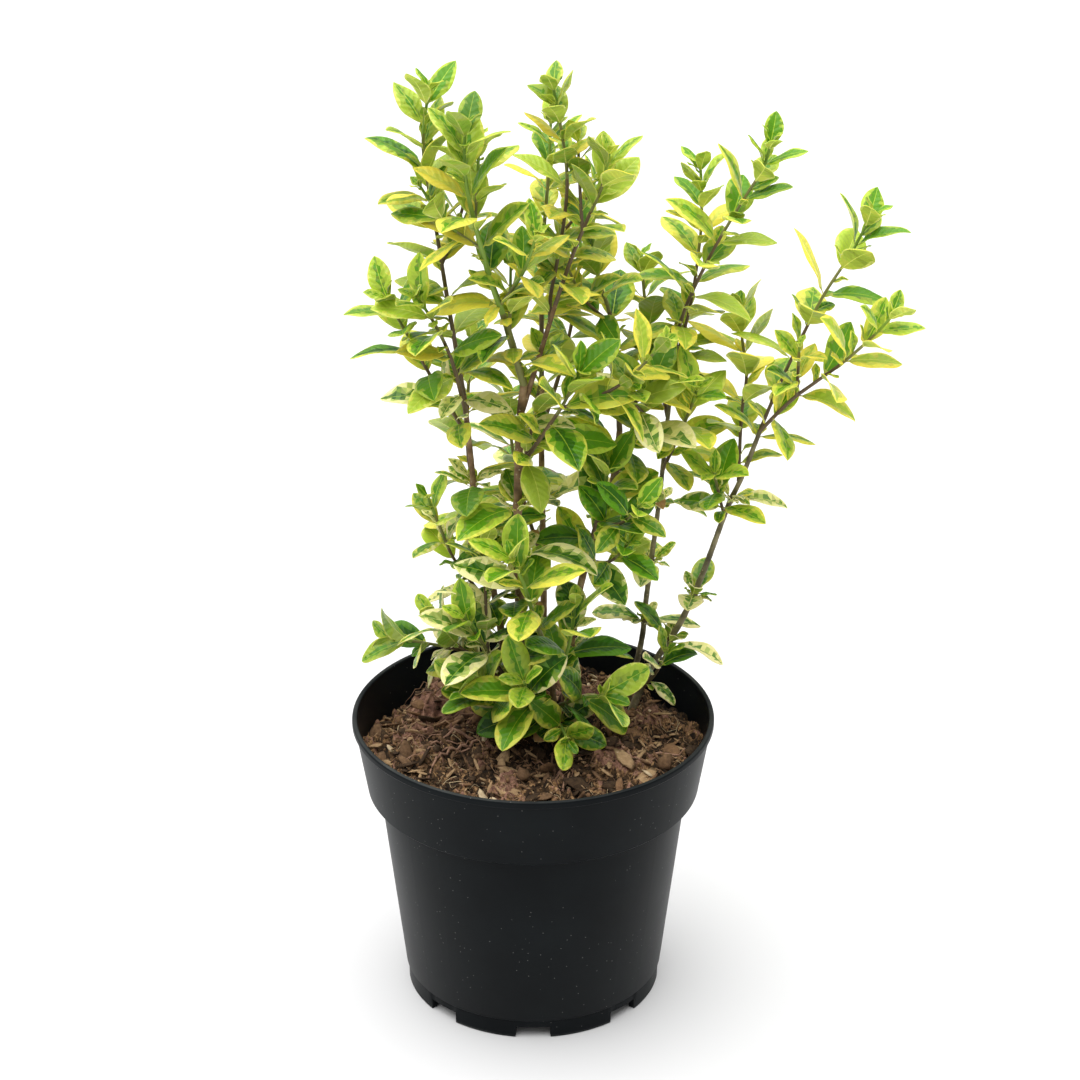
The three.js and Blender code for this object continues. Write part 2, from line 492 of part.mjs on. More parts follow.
// Pot: one closed profile turned about the axis, with drainage notches cut through the foot ring.
function potSolid() {
  const lipFoot = POT_HEIGHT - LIP_HEIGHT;
  const profile = [
    [0, 0], [CHANNEL_IN - 1, 0], [CHANNEL_IN, CHANNEL_HEIGHT - POT_FLOOR], [CHANNEL_OUT, CHANNEL_HEIGHT - POT_FLOOR],
    [CHANNEL_OUT + 0.6, 0], [FOOT_RADIUS, 0], [FOOT_RADIUS + 0.3, FOOT_RING_HEIGHT - 0.4], [BODY_FOOT_RADIUS, FOOT_RING_HEIGHT],
    [BODY_TOP_RADIUS, COLLAR_FOOT - 1.2], [COLLAR_FOOT_RADIUS - 0.8, COLLAR_FOOT - 0.6], [COLLAR_FOOT_RADIUS, COLLAR_FOOT],
    [COLLAR_TOP_RADIUS, lipFoot], [RIM_RADIUS, lipFoot + 0.4], [RIM_RADIUS, POT_HEIGHT - 0.8], [RIM_RADIUS - 0.8, POT_HEIGHT],
    [RIM_RADIUS - 2, POT_HEIGHT], [RIM_RADIUS - 2.6, POT_HEIGHT - 0.7], [potInside(lipFoot), lipFoot],
    [potInside(COLLAR_FOOT + 0.1), COLLAR_FOOT + 0.8], [potInside(COLLAR_FOOT - 2), COLLAR_FOOT - 2],
    [potInside(CHANNEL_HEIGHT), CHANNEL_HEIGHT], [CHANNEL_IN + 1.6, CHANNEL_HEIGHT], [CHANNEL_IN, POT_FLOOR], [0, POT_FLOOR],
  ];
  const turned = new THREE.LatheGeometry(profile.map(([r, z]) => new THREE.Vector2(r, z)), POT_SEGMENTS);
  turned.rotateX(PI / 2);
  let pot = solidOf(turned);
  for (let k = 0; k < NOTCH_COUNT; k++) {
    const notch = new THREE.BoxGeometry(10, NOTCH_WIDTH, NOTCH_HEIGHT + 2);
    notch.translate(FOOT_RADIUS - 2, 0, NOTCH_HEIGHT / 2 - 1);
    notch.rotateZ(rad(-90 + (360 * k) / NOTCH_COUNT));
    pot = pot.subtract(solidOf(notch));
  }
  return pot;
}

// Soil: rings from the underside up the wall and in over the uneven top.
function soilSolid() {
  const rings = [
    [potInside(CHANNEL_HEIGHT) - 0.6, CHANNEL_HEIGHT + GAP],
    [potInside(COLLAR_FOOT - 2) - 2 * GAP, COLLAR_FOOT - 1.6],
    [potInside(COLLAR_FOOT + 1) - 2 * GAP, COLLAR_FOOT + 1.8],
  ];
  const points = [[0, 0, CHANNEL_HEIGHT + GAP]];
  const spot = (k, r, z) => {
    const a = (2 * PI * k) / SOIL_SEGMENTS;
    return [r * cos(a), r * sin(a), z];
  };
  for (const [r, z] of rings) for (let k = 0; k < SOIL_SEGMENTS; k++) points.push(spot(k, r, z));
  for (let ring = 0; ring < SOIL_RINGS; ring++)
    for (let k = 0; k < SOIL_SEGMENTS; k++) {
      const [ex, ey] = spot(k, 78, 0);
      const edge = soilHeight(ex, ey);
      if (!ring) points.push(spot(k, potInside(edge) - GAP - 0.2, edge));
      else {
        const [x, y] = spot(k, 78 * (1 - ring / SOIL_RINGS), 0);
        points.push([x, y, soilHeight(x, y)]);
      }
    }
  const count = rings.length + SOIL_RINGS;
  const apex = points.push([0, 0, soilHeight(0, 0)]) - 1;
  const faces = [];
  const at = (ring, k) => 1 + ring * SOIL_SEGMENTS + (k % SOIL_SEGMENTS);
  for (let k = 0; k < SOIL_SEGMENTS; k++) {
    faces.push([0, at(0, k + 1), at(0, k)]);
    for (let ring = 0; ring < count - 1; ring++)
      faces.push([at(ring, k), at(ring, k + 1), at(ring + 1, k + 1)], [at(ring, k), at(ring + 1, k + 1), at(ring + 1, k)]);
    faces.push([at(count - 1, k), at(count - 1, k + 1), apex]);
  }
  return closedSolid(points, faces);
}

// The largest piece of a joined solid, without its shortest edges: a loose scrap or a sealed hollow is left out.
function wholePiece(solid) {
  return solid.simplify(SHORTEST_EDGE).decompose().reduce((a, b) => (b.volume() > a.volume() ? b : a));
}

function meshOf(name, solid, color, roughness) {
  const { vertProperties, triVerts } = solid.getMesh();
  const geometry = new THREE.BufferGeometry();
  geometry.setAttribute("position", new THREE.BufferAttribute(vertProperties, 3));
  geometry.setIndex(new THREE.BufferAttribute(triVerts, 1));
  const mesh = new THREE.Mesh(geometry, new THREE.MeshStandardMaterial({ color, roughness, flatShading: true }));
  mesh.name = name;
  return mesh;
}

const plant = new THREE.Group();
plant.name = "potted_privet";
plant.add(meshOf("pot", potSolid(), "#26292b", 0.45));

let soil = soilSolid();
const woody = new THREE.Group();
const foliage = new THREE.Group();
plant.add(woody, foliage);

for (const [name, limb] of Object.entries(LIMBS)) {
  const { route, radius } = stems[name];
  let from;
  if (limb.from) from = clearStart(route, radius, LIMB_SIDES, stems[limb.from]);
  else {
    from = 0;
    while (along(route, from).place[2] < soilHeight(...along(route, from).place) - STEM_SUNK) from += 0.2;
    soil = soil.subtract(stemSolid(route, (s) => radius(s) + GAP, LIMB_SIDES, max(from - GAP, 0), from + 14, 2));
  }
  const steps = max(4, floor((route.total - from) / 11));
  woody.add(meshOf(name, stemSolid(route, radius, LIMB_SIDES, from, route.total, steps), "#7a6450", 0.85));
}
plant.add(meshOf("soil", wholePiece(soil), "#5a4030", 0.95));

// The leaves of a node as closed solids. The smallest are left out, except at a shoot's own tip.
const leafSolids = (node) => leaves
  .filter((leaf) => leaf.node === node && (leaf.length > SMALLEST || leaf.tip))
  .map((leaf) => closedSolid(leafCorners(leaf), LEAF_FACES));

function foliageMesh(node, pieces, tint) {
  return meshOf(`foliage_${node}`, wholePiece(wasm.Manifold.union(pieces)), TINTS[tint], 0.55);
}

for (const [name, shoot] of Object.entries(SHOOTS)) {
  const pieces = leafSolids(name);
  for (const [key, stem] of Object.entries(stems)) {
    if (stem.node !== name || stem.radius) continue;
    const radius = (s) => stem.r0 + ((stem.r1 - stem.r0) * s) / stem.route.total;
    const from = key === name ? clearStart(stem.route, radius, TWIG_SIDES, stems[shoot.limb]) : 0;
    const steps = max(2, floor(stem.route.total / 16));
    pieces.push(stemSolid(stem.route, radius, TWIG_SIDES, from, stem.route.total, steps));
  }
  foliage.add(foliageMesh(name, pieces, shoot.tint));
}

// A pair's leaves are held by the swollen ring of the node round its stem.
for (const { node, route, s, radius } of nodalRings) {
  const inner = (radius + GAP) / cos(PI / LIMB_SIDES);
  const ring = stemSolid(route, () => inner + 1.1, LIMB_SIDES, s - 1.2, s + 1.2, 1)
    .subtract(stemSolid(route, () => inner, LIMB_SIDES, s - 2, s + 2, 1));
  const row = Object.entries(PAIRS).find(([name]) => node.startsWith(name.replace("stem_", "") + "_pair"))[1];
  foliage.add(foliageMesh(node, [ring, ...leafSolids(node)], row.tint));
}

export default plant;
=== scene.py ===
import functools
import math

import bpy
import numpy as np
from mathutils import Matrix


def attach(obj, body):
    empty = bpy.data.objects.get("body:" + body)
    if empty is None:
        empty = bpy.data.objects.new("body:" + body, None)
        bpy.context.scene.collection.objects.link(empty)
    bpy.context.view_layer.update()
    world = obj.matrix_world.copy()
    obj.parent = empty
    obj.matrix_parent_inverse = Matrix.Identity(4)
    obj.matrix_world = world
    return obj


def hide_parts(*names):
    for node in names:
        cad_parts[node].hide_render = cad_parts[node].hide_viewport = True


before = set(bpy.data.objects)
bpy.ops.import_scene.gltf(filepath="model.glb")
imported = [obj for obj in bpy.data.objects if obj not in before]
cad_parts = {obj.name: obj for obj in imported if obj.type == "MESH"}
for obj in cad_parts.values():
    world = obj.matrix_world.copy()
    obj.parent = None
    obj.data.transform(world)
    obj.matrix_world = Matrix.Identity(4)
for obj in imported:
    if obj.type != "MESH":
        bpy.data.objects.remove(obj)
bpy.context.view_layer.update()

# A variegated common privet in a two litre nursery pot.
# Sizes are in millimetres in this script and become metres when a mesh is made. Angles are in degrees.
MM = 0.001

# Pot
POT_HEIGHT = 141.6
RIM_RADIUS = 85.0
LIP_HEIGHT = 3.6
LIP_ROUND = 1.3
COLLAR_FOOT = 105.5
COLLAR_FOOT_RADIUS = 78.4
COLLAR_TOP_RADIUS = 83.7
BODY_TOP_RADIUS = 72.7
BODY_FOOT_RADIUS = 61.9
FOOT_RING_HEIGHT = 9.8
FOOT_RADIUS = 60.8
POT_WALL = 1.8
POT_FLOOR = 2.0
CHANNEL_HEIGHT = 8.0
CHANNEL_IN = 47.0
CHANNEL_OUT = 57.0
NOTCH_COUNT = 8
NOTCH_WIDTH = 16.5
NOTCH_HEIGHT = 6

# Soil, with the direction, distance, half width and depth of each hollow behind the root ball
SOIL_LEVEL = 126.0
SOIL_MOUND = 3.5
MOUND_RADIUS = 48
HOLLOWS = [(148, 74, 26, 7), (40, 76, 20, 4)]

# Stems
ROOT_FLARE = 0.45
FLARE_HEIGHT = 9
SHOOT_TIP = 0.65
TWIG_FOOT = 0.85
TWIG_TIP = 0.6
ROUTE_STEPS = 6

# Space kept free round stems and leaves, above the soil and about the rim
CLEAR = 0.45
SOIL_CLEAR = 5
RIM_CLEAR_INSIDE = 8
RIM_CLEAR = 2

# Leaves: how they sit, the whole range of their chance turns, and the least value and range of their shape
ROOT_DEPTH = 0.35
LEAF_THICK = 0.6
WIDEST = 0.47
LIGHT_PULL = 0.35
DRAWS_PER_LEAF = 6
AZIMUTH_RANGE = 26
SPREAD_RANGE = 18
ROLL_RANGE = 34
LENGTH_LEAST, LENGTH_RANGE = 0.88, 0.24
FOLD_LEAST, FOLD_RANGE = 10, 16
ARCH_LEAST, ARCH_RANGE = 18, 52
WIDTH_LEAST, WIDTH_RANGE = 0.43, 0.09

# Leaf pairs up a shoot: the first one's place in pitches, how far the leaves lean out at the foot and how
# much less at the tip, and how the pitch shrinks; then the lean and share of size of the pair on the tip
FIRST_PAIR = 0.55
FOOT_SPREAD, SPREAD_FALL = 62, 36
PITCH_FALL, LEAST_PITCH = 0.62, 3
TIP_SPREAD, TIP_SPREAD_RISE = 17, 14
TIP_PAIR_SHARE = 0.55

# Side twigs: between which shares of a shoot they grow, their length as a share of its longest leaf, their
# way out and up, and the pairs on them
TWIGS_FROM, TWIGS_TO = 0.1, 0.75
TWIG_LEAST, TWIG_RANGE = 0.9, 0.7
TWIG_FORWARD, TWIG_OUTWARD, TWIG_RISE = 0.72, 0.69, 0.25
TWIG_LEAF_SHARE = 0.74
TWIG_PITCH = 13
TWIG_FIRST_PAIR = 9
TWIG_TIP_SHARE = 0.5

# Leaves straight on a bare stem: turn, lean and share of size of the pair and of the smaller one beside it,
# how far their roots are off the stem, and how far back their stalks reach
PAIR_PARTS = [(0, 66, 1), (55, 48, 0.42)]
PAIR_OFF_STEM = 0.95
PAIR_BACK = 2.2

# Finer leaves in the angles between the pairs: steps along a shoot and off a bare stem's nodes, size as a
# share of the longest, lean, and how they meet a bare stem
FINE_STEP = 8
FINE_NODE_STEPS = (-1.2, 0, 1.2)
FINE_LEAST, FINE_RANGE = 0.3, 0.32
FINE_SPREAD, FINE_SPREAD_FALL = 52, 26
FINE_OFF_STEM = 0.6
FINE_BACK = 2.0

# Seeds of the draws for shoots, pairs and finer leaves, and blocks along each kind of stem
SHOOT_SEED, PAIR_SEED, FINE_SEED = 11, 101, 501
LIMB_BLOCKS, SHOOT_BLOCKS, TWIG_BLOCKS = 10, 8, 3

GOLD, LIME, CREAM, DARK = "gold", "lime", "cream", "dark"


def table(columns, rows):
    """A table as one dict for each row, kept under the name in the row's first place."""
    return {name: dict(zip(columns.split(), row)) for name, *row in rows}


# Bare stems and boughs: the radius at the foot and at the tip, and a route through the middle.
LIMBS = table("foot tip route", [
    ("stem_left", 1.9, 1.2, [(-9, 20, 118), (-16, 21, 180), (-25, 18, 230), (-29, 12, 275), (-31, 10, 298)]),
    ("stem_centre", 2.4, 1.8, [(0, 12, 118), (-6, 10, 195), (-7, 7, 235), (-6, 5, 282), (-4, 2, 306)]),
    ("stem_back", 1.8, 1.3, [(4, 34, 118), (5, 40, 180), (4, 41, 249), (4, 42, 292)]),
    ("stem_inner", 2.0, 1.4, [(14, 24, 118), (20, 30, 180), (29, 32, 218), (36, 33, 239), (40, 35, 270)]),
    ("stem_mid_right", 1.5, 0.95,
     [(44, 40, 118), (52, 44, 156), (54, 43, 180), (59, 39, 232), (62, 35, 275), (64, 34, 296)]),
    ("stem_right", 1.8, 1.05,
     [(44, 27, 118), (55, 31, 146), (70, 33, 172), (80, 31, 199), (90, 28, 233), (97, 26, 252),
      (104, 25, 274)]),
    ("stem_front", 1.7, 1.2, [(12, 6, 118), (10, 2, 140), (9, -3, 156), (5, -8, 182)]),
    ("bough_top_right", 1.3, 1.0, [(-6, 4, 288), (2, 3, 316), (10, 2, 344)]),
])

# Leafy shoots: radius at the foot, pitch of the leaf pairs, longest leaf, turn of the first pair, share of
# nodes with a side twig, size of the tip's leaves as a share of the longest, tint, and the route.
SHOOTS = table("foot pitch leaf turn twigs tip tint route", [
    ("top_left", 1.1, 19, 33, 50, 0.35, 0.6, LIME,
     [(-31, 10, 298), (-37, 7, 340), (-42, 5, 377), (-47, 2, 415), (-44, 0, 442)]),
    ("left_low", 1.0, 16, 29, 0, 0.2, 0.7, LIME,
     [(-29, 12, 276), (-43, 5, 304), (-54, 0, 328), (-64, -6, 350)]),
    ("left_high", 1.1, 16, 32, 60, 0.2, 0.6, LIME,
     [(-30, 11, 288), (-36, -3, 320), (-43, -13, 341), (-50, -21, 356)]),
    ("top_front", 1.8, 18, 34, 70, 0.6, 0.65, GOLD,
     [(-4, 2, 306), (-9, -3, 327), (-13, -8, 343), (-20, -15, 368), (-28, -24, 408), (-28, -27, 433)]),
    ("top_centre", 1.0, 15, 31, 30, 0.3, 0.6, GOLD,
     [(10, 2, 344), (17, 1, 366), (24, 1, 384), (30, 0, 399), (33, 0, 414)]),
    ("top_spire", 0.9, 15, 27, 75, 0, 0.6, LIME,
     [(7.6, 2.3, 336), (8, 9, 346), (11, 11, 362), (14, 10, 382), (15, 9, 400), (13, 8, 418), (9, 8, 440)]),
    ("top_back", 1.2, 19, 29, 14, 0.45, 0.5, GOLD,
     [(4, 42, 292), (4, 43, 342), (5, 44, 364), (7, 44, 390), (8, 45, 414)]),
    ("inner_top", 1.4, 16, 34, 50, 0.5, 0.5, GOLD,
     [(40, 35, 270), (38, 36, 300), (35, 37, 326), (30, 38, 342), (27, 40, 362)]),
    ("top_right", 0.9, 17, 31, 80, 0.1, 0.5, LIME,
     [(64, 34, 296), (67, 32, 325), (79, 28, 357), (93, 24, 385), (101, 22, 400), (104, 20, 413)]),
    ("right_back_tip", 0.8, 17, 30, 30, 0.1, 0.5, LIME,
     [(62.7, 34.7, 284), (66, 41, 304), (71, 42, 325), (74, 43, 345), (76, 44, 370), (75, 47, 394)]),
    ("right_out", 1.0, 17, 31, 15, 0.1, 0.5, GOLD,
     [(104, 25, 274), (117, 20, 291), (128, 16, 302), (140, 11, 314), (152, 5, 329), (159, 2, 339)]),
    ("right_up", 0.9, 21, 33, 80, 0, 0.6, LIME,
     [(99, 26, 259), (110, 30, 288), (123, 31, 320), (132, 32, 339), (143, 34, 357), (151, 35, 374)]),
    ("right_inner", 0.85, 15, 32, 70, 0, 0.6, GOLD,
     [(95, 27, 248), (96, 34, 278), (98, 38, 296), (96, 42, 311), (94, 46, 326)]),
    ("right_small", 0.8, 12, 27, 60, 0, 0.8, LIME, [(89, 28, 230), (86, 21, 243), (83, 15, 257)]),
    ("mid_right_low", 1.0, 14, 29, 40, 0, 0.7, GOLD,
     [(60, 38, 248), (66, 28, 268), (71, 21, 285), (74, 16, 298)]),
    ("front_top", 1.2, 15, 34, 70, 0.3, 0.6, LIME,
     [(5, -8, 182), (0, -14, 200), (-4, -19, 217), (-9, -24, 232)]),
    ("front_foot", 1.0, 12, 27, 40, 0, 0.6, DARK, [(11, 4, 134), (13, -11, 140), (16, -27, 141)]),
    ("front_side", 1.0, 12, 31, 20, 0, 0.8, DARK, [(10, 2, 143), (22, -6, 152), (33, -13, 157)]),
    ("front_low", 1.0, 13, 34, 0, 0, 0.8, DARK,
     [(11, 4.3, 133), (4, -8, 145), (-1, -18, 158), (-4, -26, 171)]),
    ("front_mid", 1.0, 14, 34, 10, 0.3, 0.7, LIME,
     [(9, -3, 158), (15, -10, 176), (18, -14, 192), (19, -16, 204)]),
    ("left_foot", 1.2, 15, 35, 60, 0.3, 0.6, CREAM,
     [(-1, 12, 138), (-10, 3, 154), (-17, -3, 168), (-24, -10, 184), (-31, -16, 199)]),
    ("left_front", 1.0, 13, 33, 20, 0, 0.8, DARK,
     [(-0.8, 12, 131), (-11, 1, 142), (-20, -8, 152), (-27, -15, 162)]),
    ("left_side", 1.0, 17, 27, 90, 0, 1.0, CREAM,
     [(-11, 20, 142), (-20, 16, 158), (-33, 11, 168), (-49, 7, 174), (-66, 3, 179)]),
    ("left_small", 0.9, 15, 25, 30, 0, 0.7, LIME,
     [(-16, 21, 182), (-27, 20, 197), (-37, 16, 214), (-43, 12, 232), (-48, 9, 248)]),
    ("right_foot", 0.9, 12, 20, 50, 0, 0.7, CREAM, [(52.3, 30, 138), (59, 25, 150), (63, 22, 162)]),
    ("centre_front", 1.2, 15, 37, 20, 0.4, 0.7, LIME,
     [(-7, 7, 262), (5, -6, 286), (14, -14, 304), (20, -19, 320)]),
    ("centre_mid", 1.1, 15, 33, 35, 0.4, 0.7, DARK,
     [(24, 31, 200), (28, 19, 226), (32, 10, 246), (34, 4, 264)]),
    ("centre_right", 1.1, 15, 36, 60, 0.3, 0.7, LIME,
     [(37, 33, 245), (45, 22, 270), (51, 14, 290), (54, 9, 306)]),
    ("back_low", 1.1, 18, 32, 20, 0.3, 0.5, CREAM,
     [(5, 40, 200), (-4, 54, 224), (-10, 64, 250), (-12, 70, 274)]),
    ("back_high", 1.1, 18, 32, 45, 0.3, 0.5, LIME,
     [(4, 42, 268), (14, 57, 296), (20, 67, 324), (22, 73, 350)]),
    ("back_left", 1.1, 18, 31, 65, 0, 0.5, GOLD,
     [(-26, 17, 240), (-30, 30, 262), (-30, 42, 286), (-28, 50, 310)]),
    ("back_right", 1.0, 18, 31, 25, 0.3, 0.5, LIME,
     [(62, 35, 277), (57, 50, 298), (52, 62, 322), (50, 68, 344)]),
])

# Leaves that sit straight on a bare stem: longest leaf, turn of the first pair, and heights of the nodes.
PAIRS = table("leaf turn heights", [
    ("stem_left", 34, 80, [172, 204, 226, 252]),
    ("stem_centre", 36, 60, [174, 196, 220, 244, 284]),
    ("stem_back", 33, 85, [232]),
    ("stem_inner", 30, 75, [160, 226]),
    ("stem_mid_right", 23, 85, [168, 200, 232]),
    ("stem_right", 25, 75, [163, 188, 239]),
])
PAIR_TINT = CREAM


def seeded(seed):
    """A random source that gives the same numbers each time, from 0 up to 1."""
    span = 2 ** 32
    state = (seed * 2654435761 + 97) % span
    while True:
        state = (state * 1664525 + 1013904223) % span
        yield state / span


def leaf_draws(draw):
    return [next(draw) for _ in range(DRAWS_PER_LEAF)]


def unit(v):
    return v / math.sqrt(float(v @ v))


def smooth_route(points):
    """Places along a smooth curve through the points, and the length run at each."""
    pts = [np.array(p, float) for p in points]
    last = len(pts) - 1
    line = []
    for i in range(last):
        a, b, c, d = pts[max(i - 1, 0)], pts[i], pts[i + 1], pts[min(i + 2, last)]
        for k in range(ROUTE_STEPS):
            t = k / ROUTE_STEPS
            bend = (2 * a - 5 * b + 4 * c - d) * t * t + (3 * b - a - 3 * c + d) * t * t * t
            line.append(0.5 * (2 * b + (c - a) * t + bend))
    line.append(pts[last])
    run = [0.0]
    for p, q in zip(line, line[1:]):
        run.append(run[-1] + math.sqrt(float((q - p) @ (q - p))))
    return line, run


def along(route, distance):
    """The place and the heading of a route at a length run."""
    line, run = route
    i = 0
    while i < len(run) - 2 and run[i + 1] < distance:
        i += 1
    share = (distance - run[i]) / (run[i + 1] - run[i])
    return line[i] + (line[i + 1] - line[i]) * share, unit(line[i + 1] - line[i])


def outward(heading, azimuth):
    """A direction square to a heading, turned round it by an angle."""
    nearly_along_y = abs(heading[1]) >= 0.85
    ref = np.array([1.0, 0.0, 0.0]) if nearly_along_y else np.array([0.0, 1.0, 0.0])
    first = unit(ref - heading * float(ref @ heading))
    a = math.radians(azimuth)
    return first * math.cos(a) + np.cross(heading, first) * math.sin(a)


def leaf_frame(heading, azimuth, spread, roll):
    """Direction, upper face and side of a leaf; the face turns up to the light."""
    out = outward(heading, azimuth)
    s, r = math.radians(spread), math.radians(roll)
    way = heading * math.cos(s) + out * math.sin(s)
    face = heading * math.sin(s) - out * math.cos(s)
    face = face + (np.array([0.0, 0.0, 1.0]) - way * way[2]) * LIGHT_PULL
    face = unit(face - way * float(face @ way))
    side = np.cross(way, face)
    face = unit(face * math.cos(r) + side * math.sin(r))
    return way, face, np.cross(way, face)


def midrib(leaf, distance):
    """Places, headings and upper faces at lengths along a leaf's arched midrib."""
    d = np.atleast_1d(np.asarray(distance, float))[:, None]
    arch = math.radians(leaf["arch"])
    turn = arch * d / leaf["length"]
    radius = leaf["length"] / arch
    place = leaf["root"] + leaf["way"] * radius * np.sin(turn) - leaf["face"] * radius * (1 - np.cos(turn))
    heading = leaf["way"] * np.cos(turn) - leaf["face"] * np.sin(turn)
    return place, heading, leaf["face"] * np.cos(turn) + leaf["way"] * np.sin(turn)


def leaf_corners(leaf, grow):
    """A leaf's root, edges, keel and tip, as a simple solid a little larger than the leaf."""
    places, headings, faces = midrib(leaf, [leaf["length"] * WIDEST, leaf["length"]])
    half = leaf["width"] / 2 + grow
    fold = math.radians(leaf["fold"])
    edge = places[0] + faces[0] * (half * math.sin(fold))
    spread = leaf["side"] * (half * math.cos(fold))
    keel = max(LEAF_THICK, half * math.sin(fold)) + grow
    root = leaf["root"] - leaf["way"] * ROOT_DEPTH
    tip = places[1] + headings[1] * grow
    return np.array([root, edge - spread, edge + spread, edge - faces[0] * keel, tip])


LEAF_FACES = [(0, 2, 1), (1, 2, 4), (0, 3, 2), (0, 1, 3), (3, 4, 2), (3, 1, 4)]
BLOCK_FACES = [(0, 1, 5), (0, 5, 4), (1, 2, 6), (1, 6, 5), (2, 3, 7), (2, 7, 6),
               (3, 0, 4), (3, 4, 7), (0, 2, 1), (0, 3, 2), (4, 5, 6), (4, 6, 7)]


class Outline:
    """A closed outline kept for the test of what touches what."""

    def __init__(self, corners, faces, tag):
        pairs = {(f[i], f[(i + 1) % 3]) for f in faces for i in range(3)}
        self.triangles = corners[np.array(faces)]
        self.edges = corners[np.array(sorted(p for p in pairs if p[0] < p[1]))]
        self.centre = corners.mean(0)
        self.reach = float(np.sqrt(((corners - self.centre) ** 2).sum(1).max()))
        self.tag = tag


def pierces(edges, triangles):
    """Whether any edge passes through any triangle."""
    start, step = edges[:, None, 0], (edges[:, 1] - edges[:, 0])[:, None]
    corner = triangles[None, :, 0]
    e1 = (triangles[:, 1] - triangles[:, 0])[None]
    e2 = (triangles[:, 2] - triangles[:, 0])[None]
    h = np.cross(step, e2)
    det = (e1 * h).sum(-1)
    in_plane = np.abs(det) < 1e-12
    det = np.where(in_plane, 1, det)
    s = start - corner
    q = np.cross(s, e1)
    u = (s * h).sum(-1) / det
    v = (step * q).sum(-1) / det
    t = (e2 * q).sum(-1) / det
    inside = (u >= 0) & (v >= 0) & (u + v <= 1) & (t >= 0) & (t <= 1) & ~in_plane
    return bool(inside.any())


def touches(outline, others, ignore):
    """Whether an outline meets any other one, apart from those with the tags to ignore."""
    near = [o for o in others if o.tag not in ignore
            and float(((o.centre - outline.centre) ** 2).sum()) < (o.reach + outline.reach) ** 2]
    if not near:
        return False
    if pierces(outline.edges, np.concatenate([o.triangles for o in near])):
        return True
    return pierces(np.concatenate([o.edges for o in near]), outline.triangles)


def blocks_along(route, foot, tip, tag, steps):
    """Square blocks along a stem, a little fatter than it."""
    rings = []
    for i in range(steps + 1):
        place, heading = along(route, route[1][-1] * i / steps)
        r = foot + (tip - foot) * i / steps + CLEAR
        rings.append([place + outward(heading, 90 * k) * r for k in range(4)])
    return [Outline(np.array(rings[i] + rings[i + 1]), BLOCK_FACES, tag) for i in range(steps)]


def meets_pot(corners):
    """A leaf must stay off the soil, the rim and the outside of the pot."""
    for x, y, z in corners[1:]:
        r = math.hypot(x, y)
        if z < SOIL_LEVEL + SOIL_CLEAR and r < RIM_RADIUS:
            return True
        if RIM_RADIUS - RIM_CLEAR_INSIDE < r < RIM_RADIUS + RIM_CLEAR and z < POT_HEIGHT + RIM_CLEAR:
            return True
        if z < POT_HEIGHT and r >= RIM_RADIUS:
            return True
    return False


def size_share(u, tip):
    """Leaf size along a shoot: largest at the middle, down to the tip's share."""
    if u < 0.5:
        return 0.82 + 0.36 * u
    return 1 - (1 - tip) * ((u - 0.5) / 0.5) ** 1.6


def pair_node(stem_name, number):
    """The name of the node of solids that holds a bare stem's leaf pair."""
    return f"{stem_name.replace('stem_', '')}_pair_{number}"


# Turns, tilts and sizes that a leaf tries until it touches nothing.
TRIES = [(0, 0, 1), (16, -8, 1), (-16, 8, 1), (0, -20, 0.95), (32, 0, 0.88), (-32, 0, 0.88),
         (0, 24, 0.85), (20, -25, 0.75), (-20, -25, 0.7)]


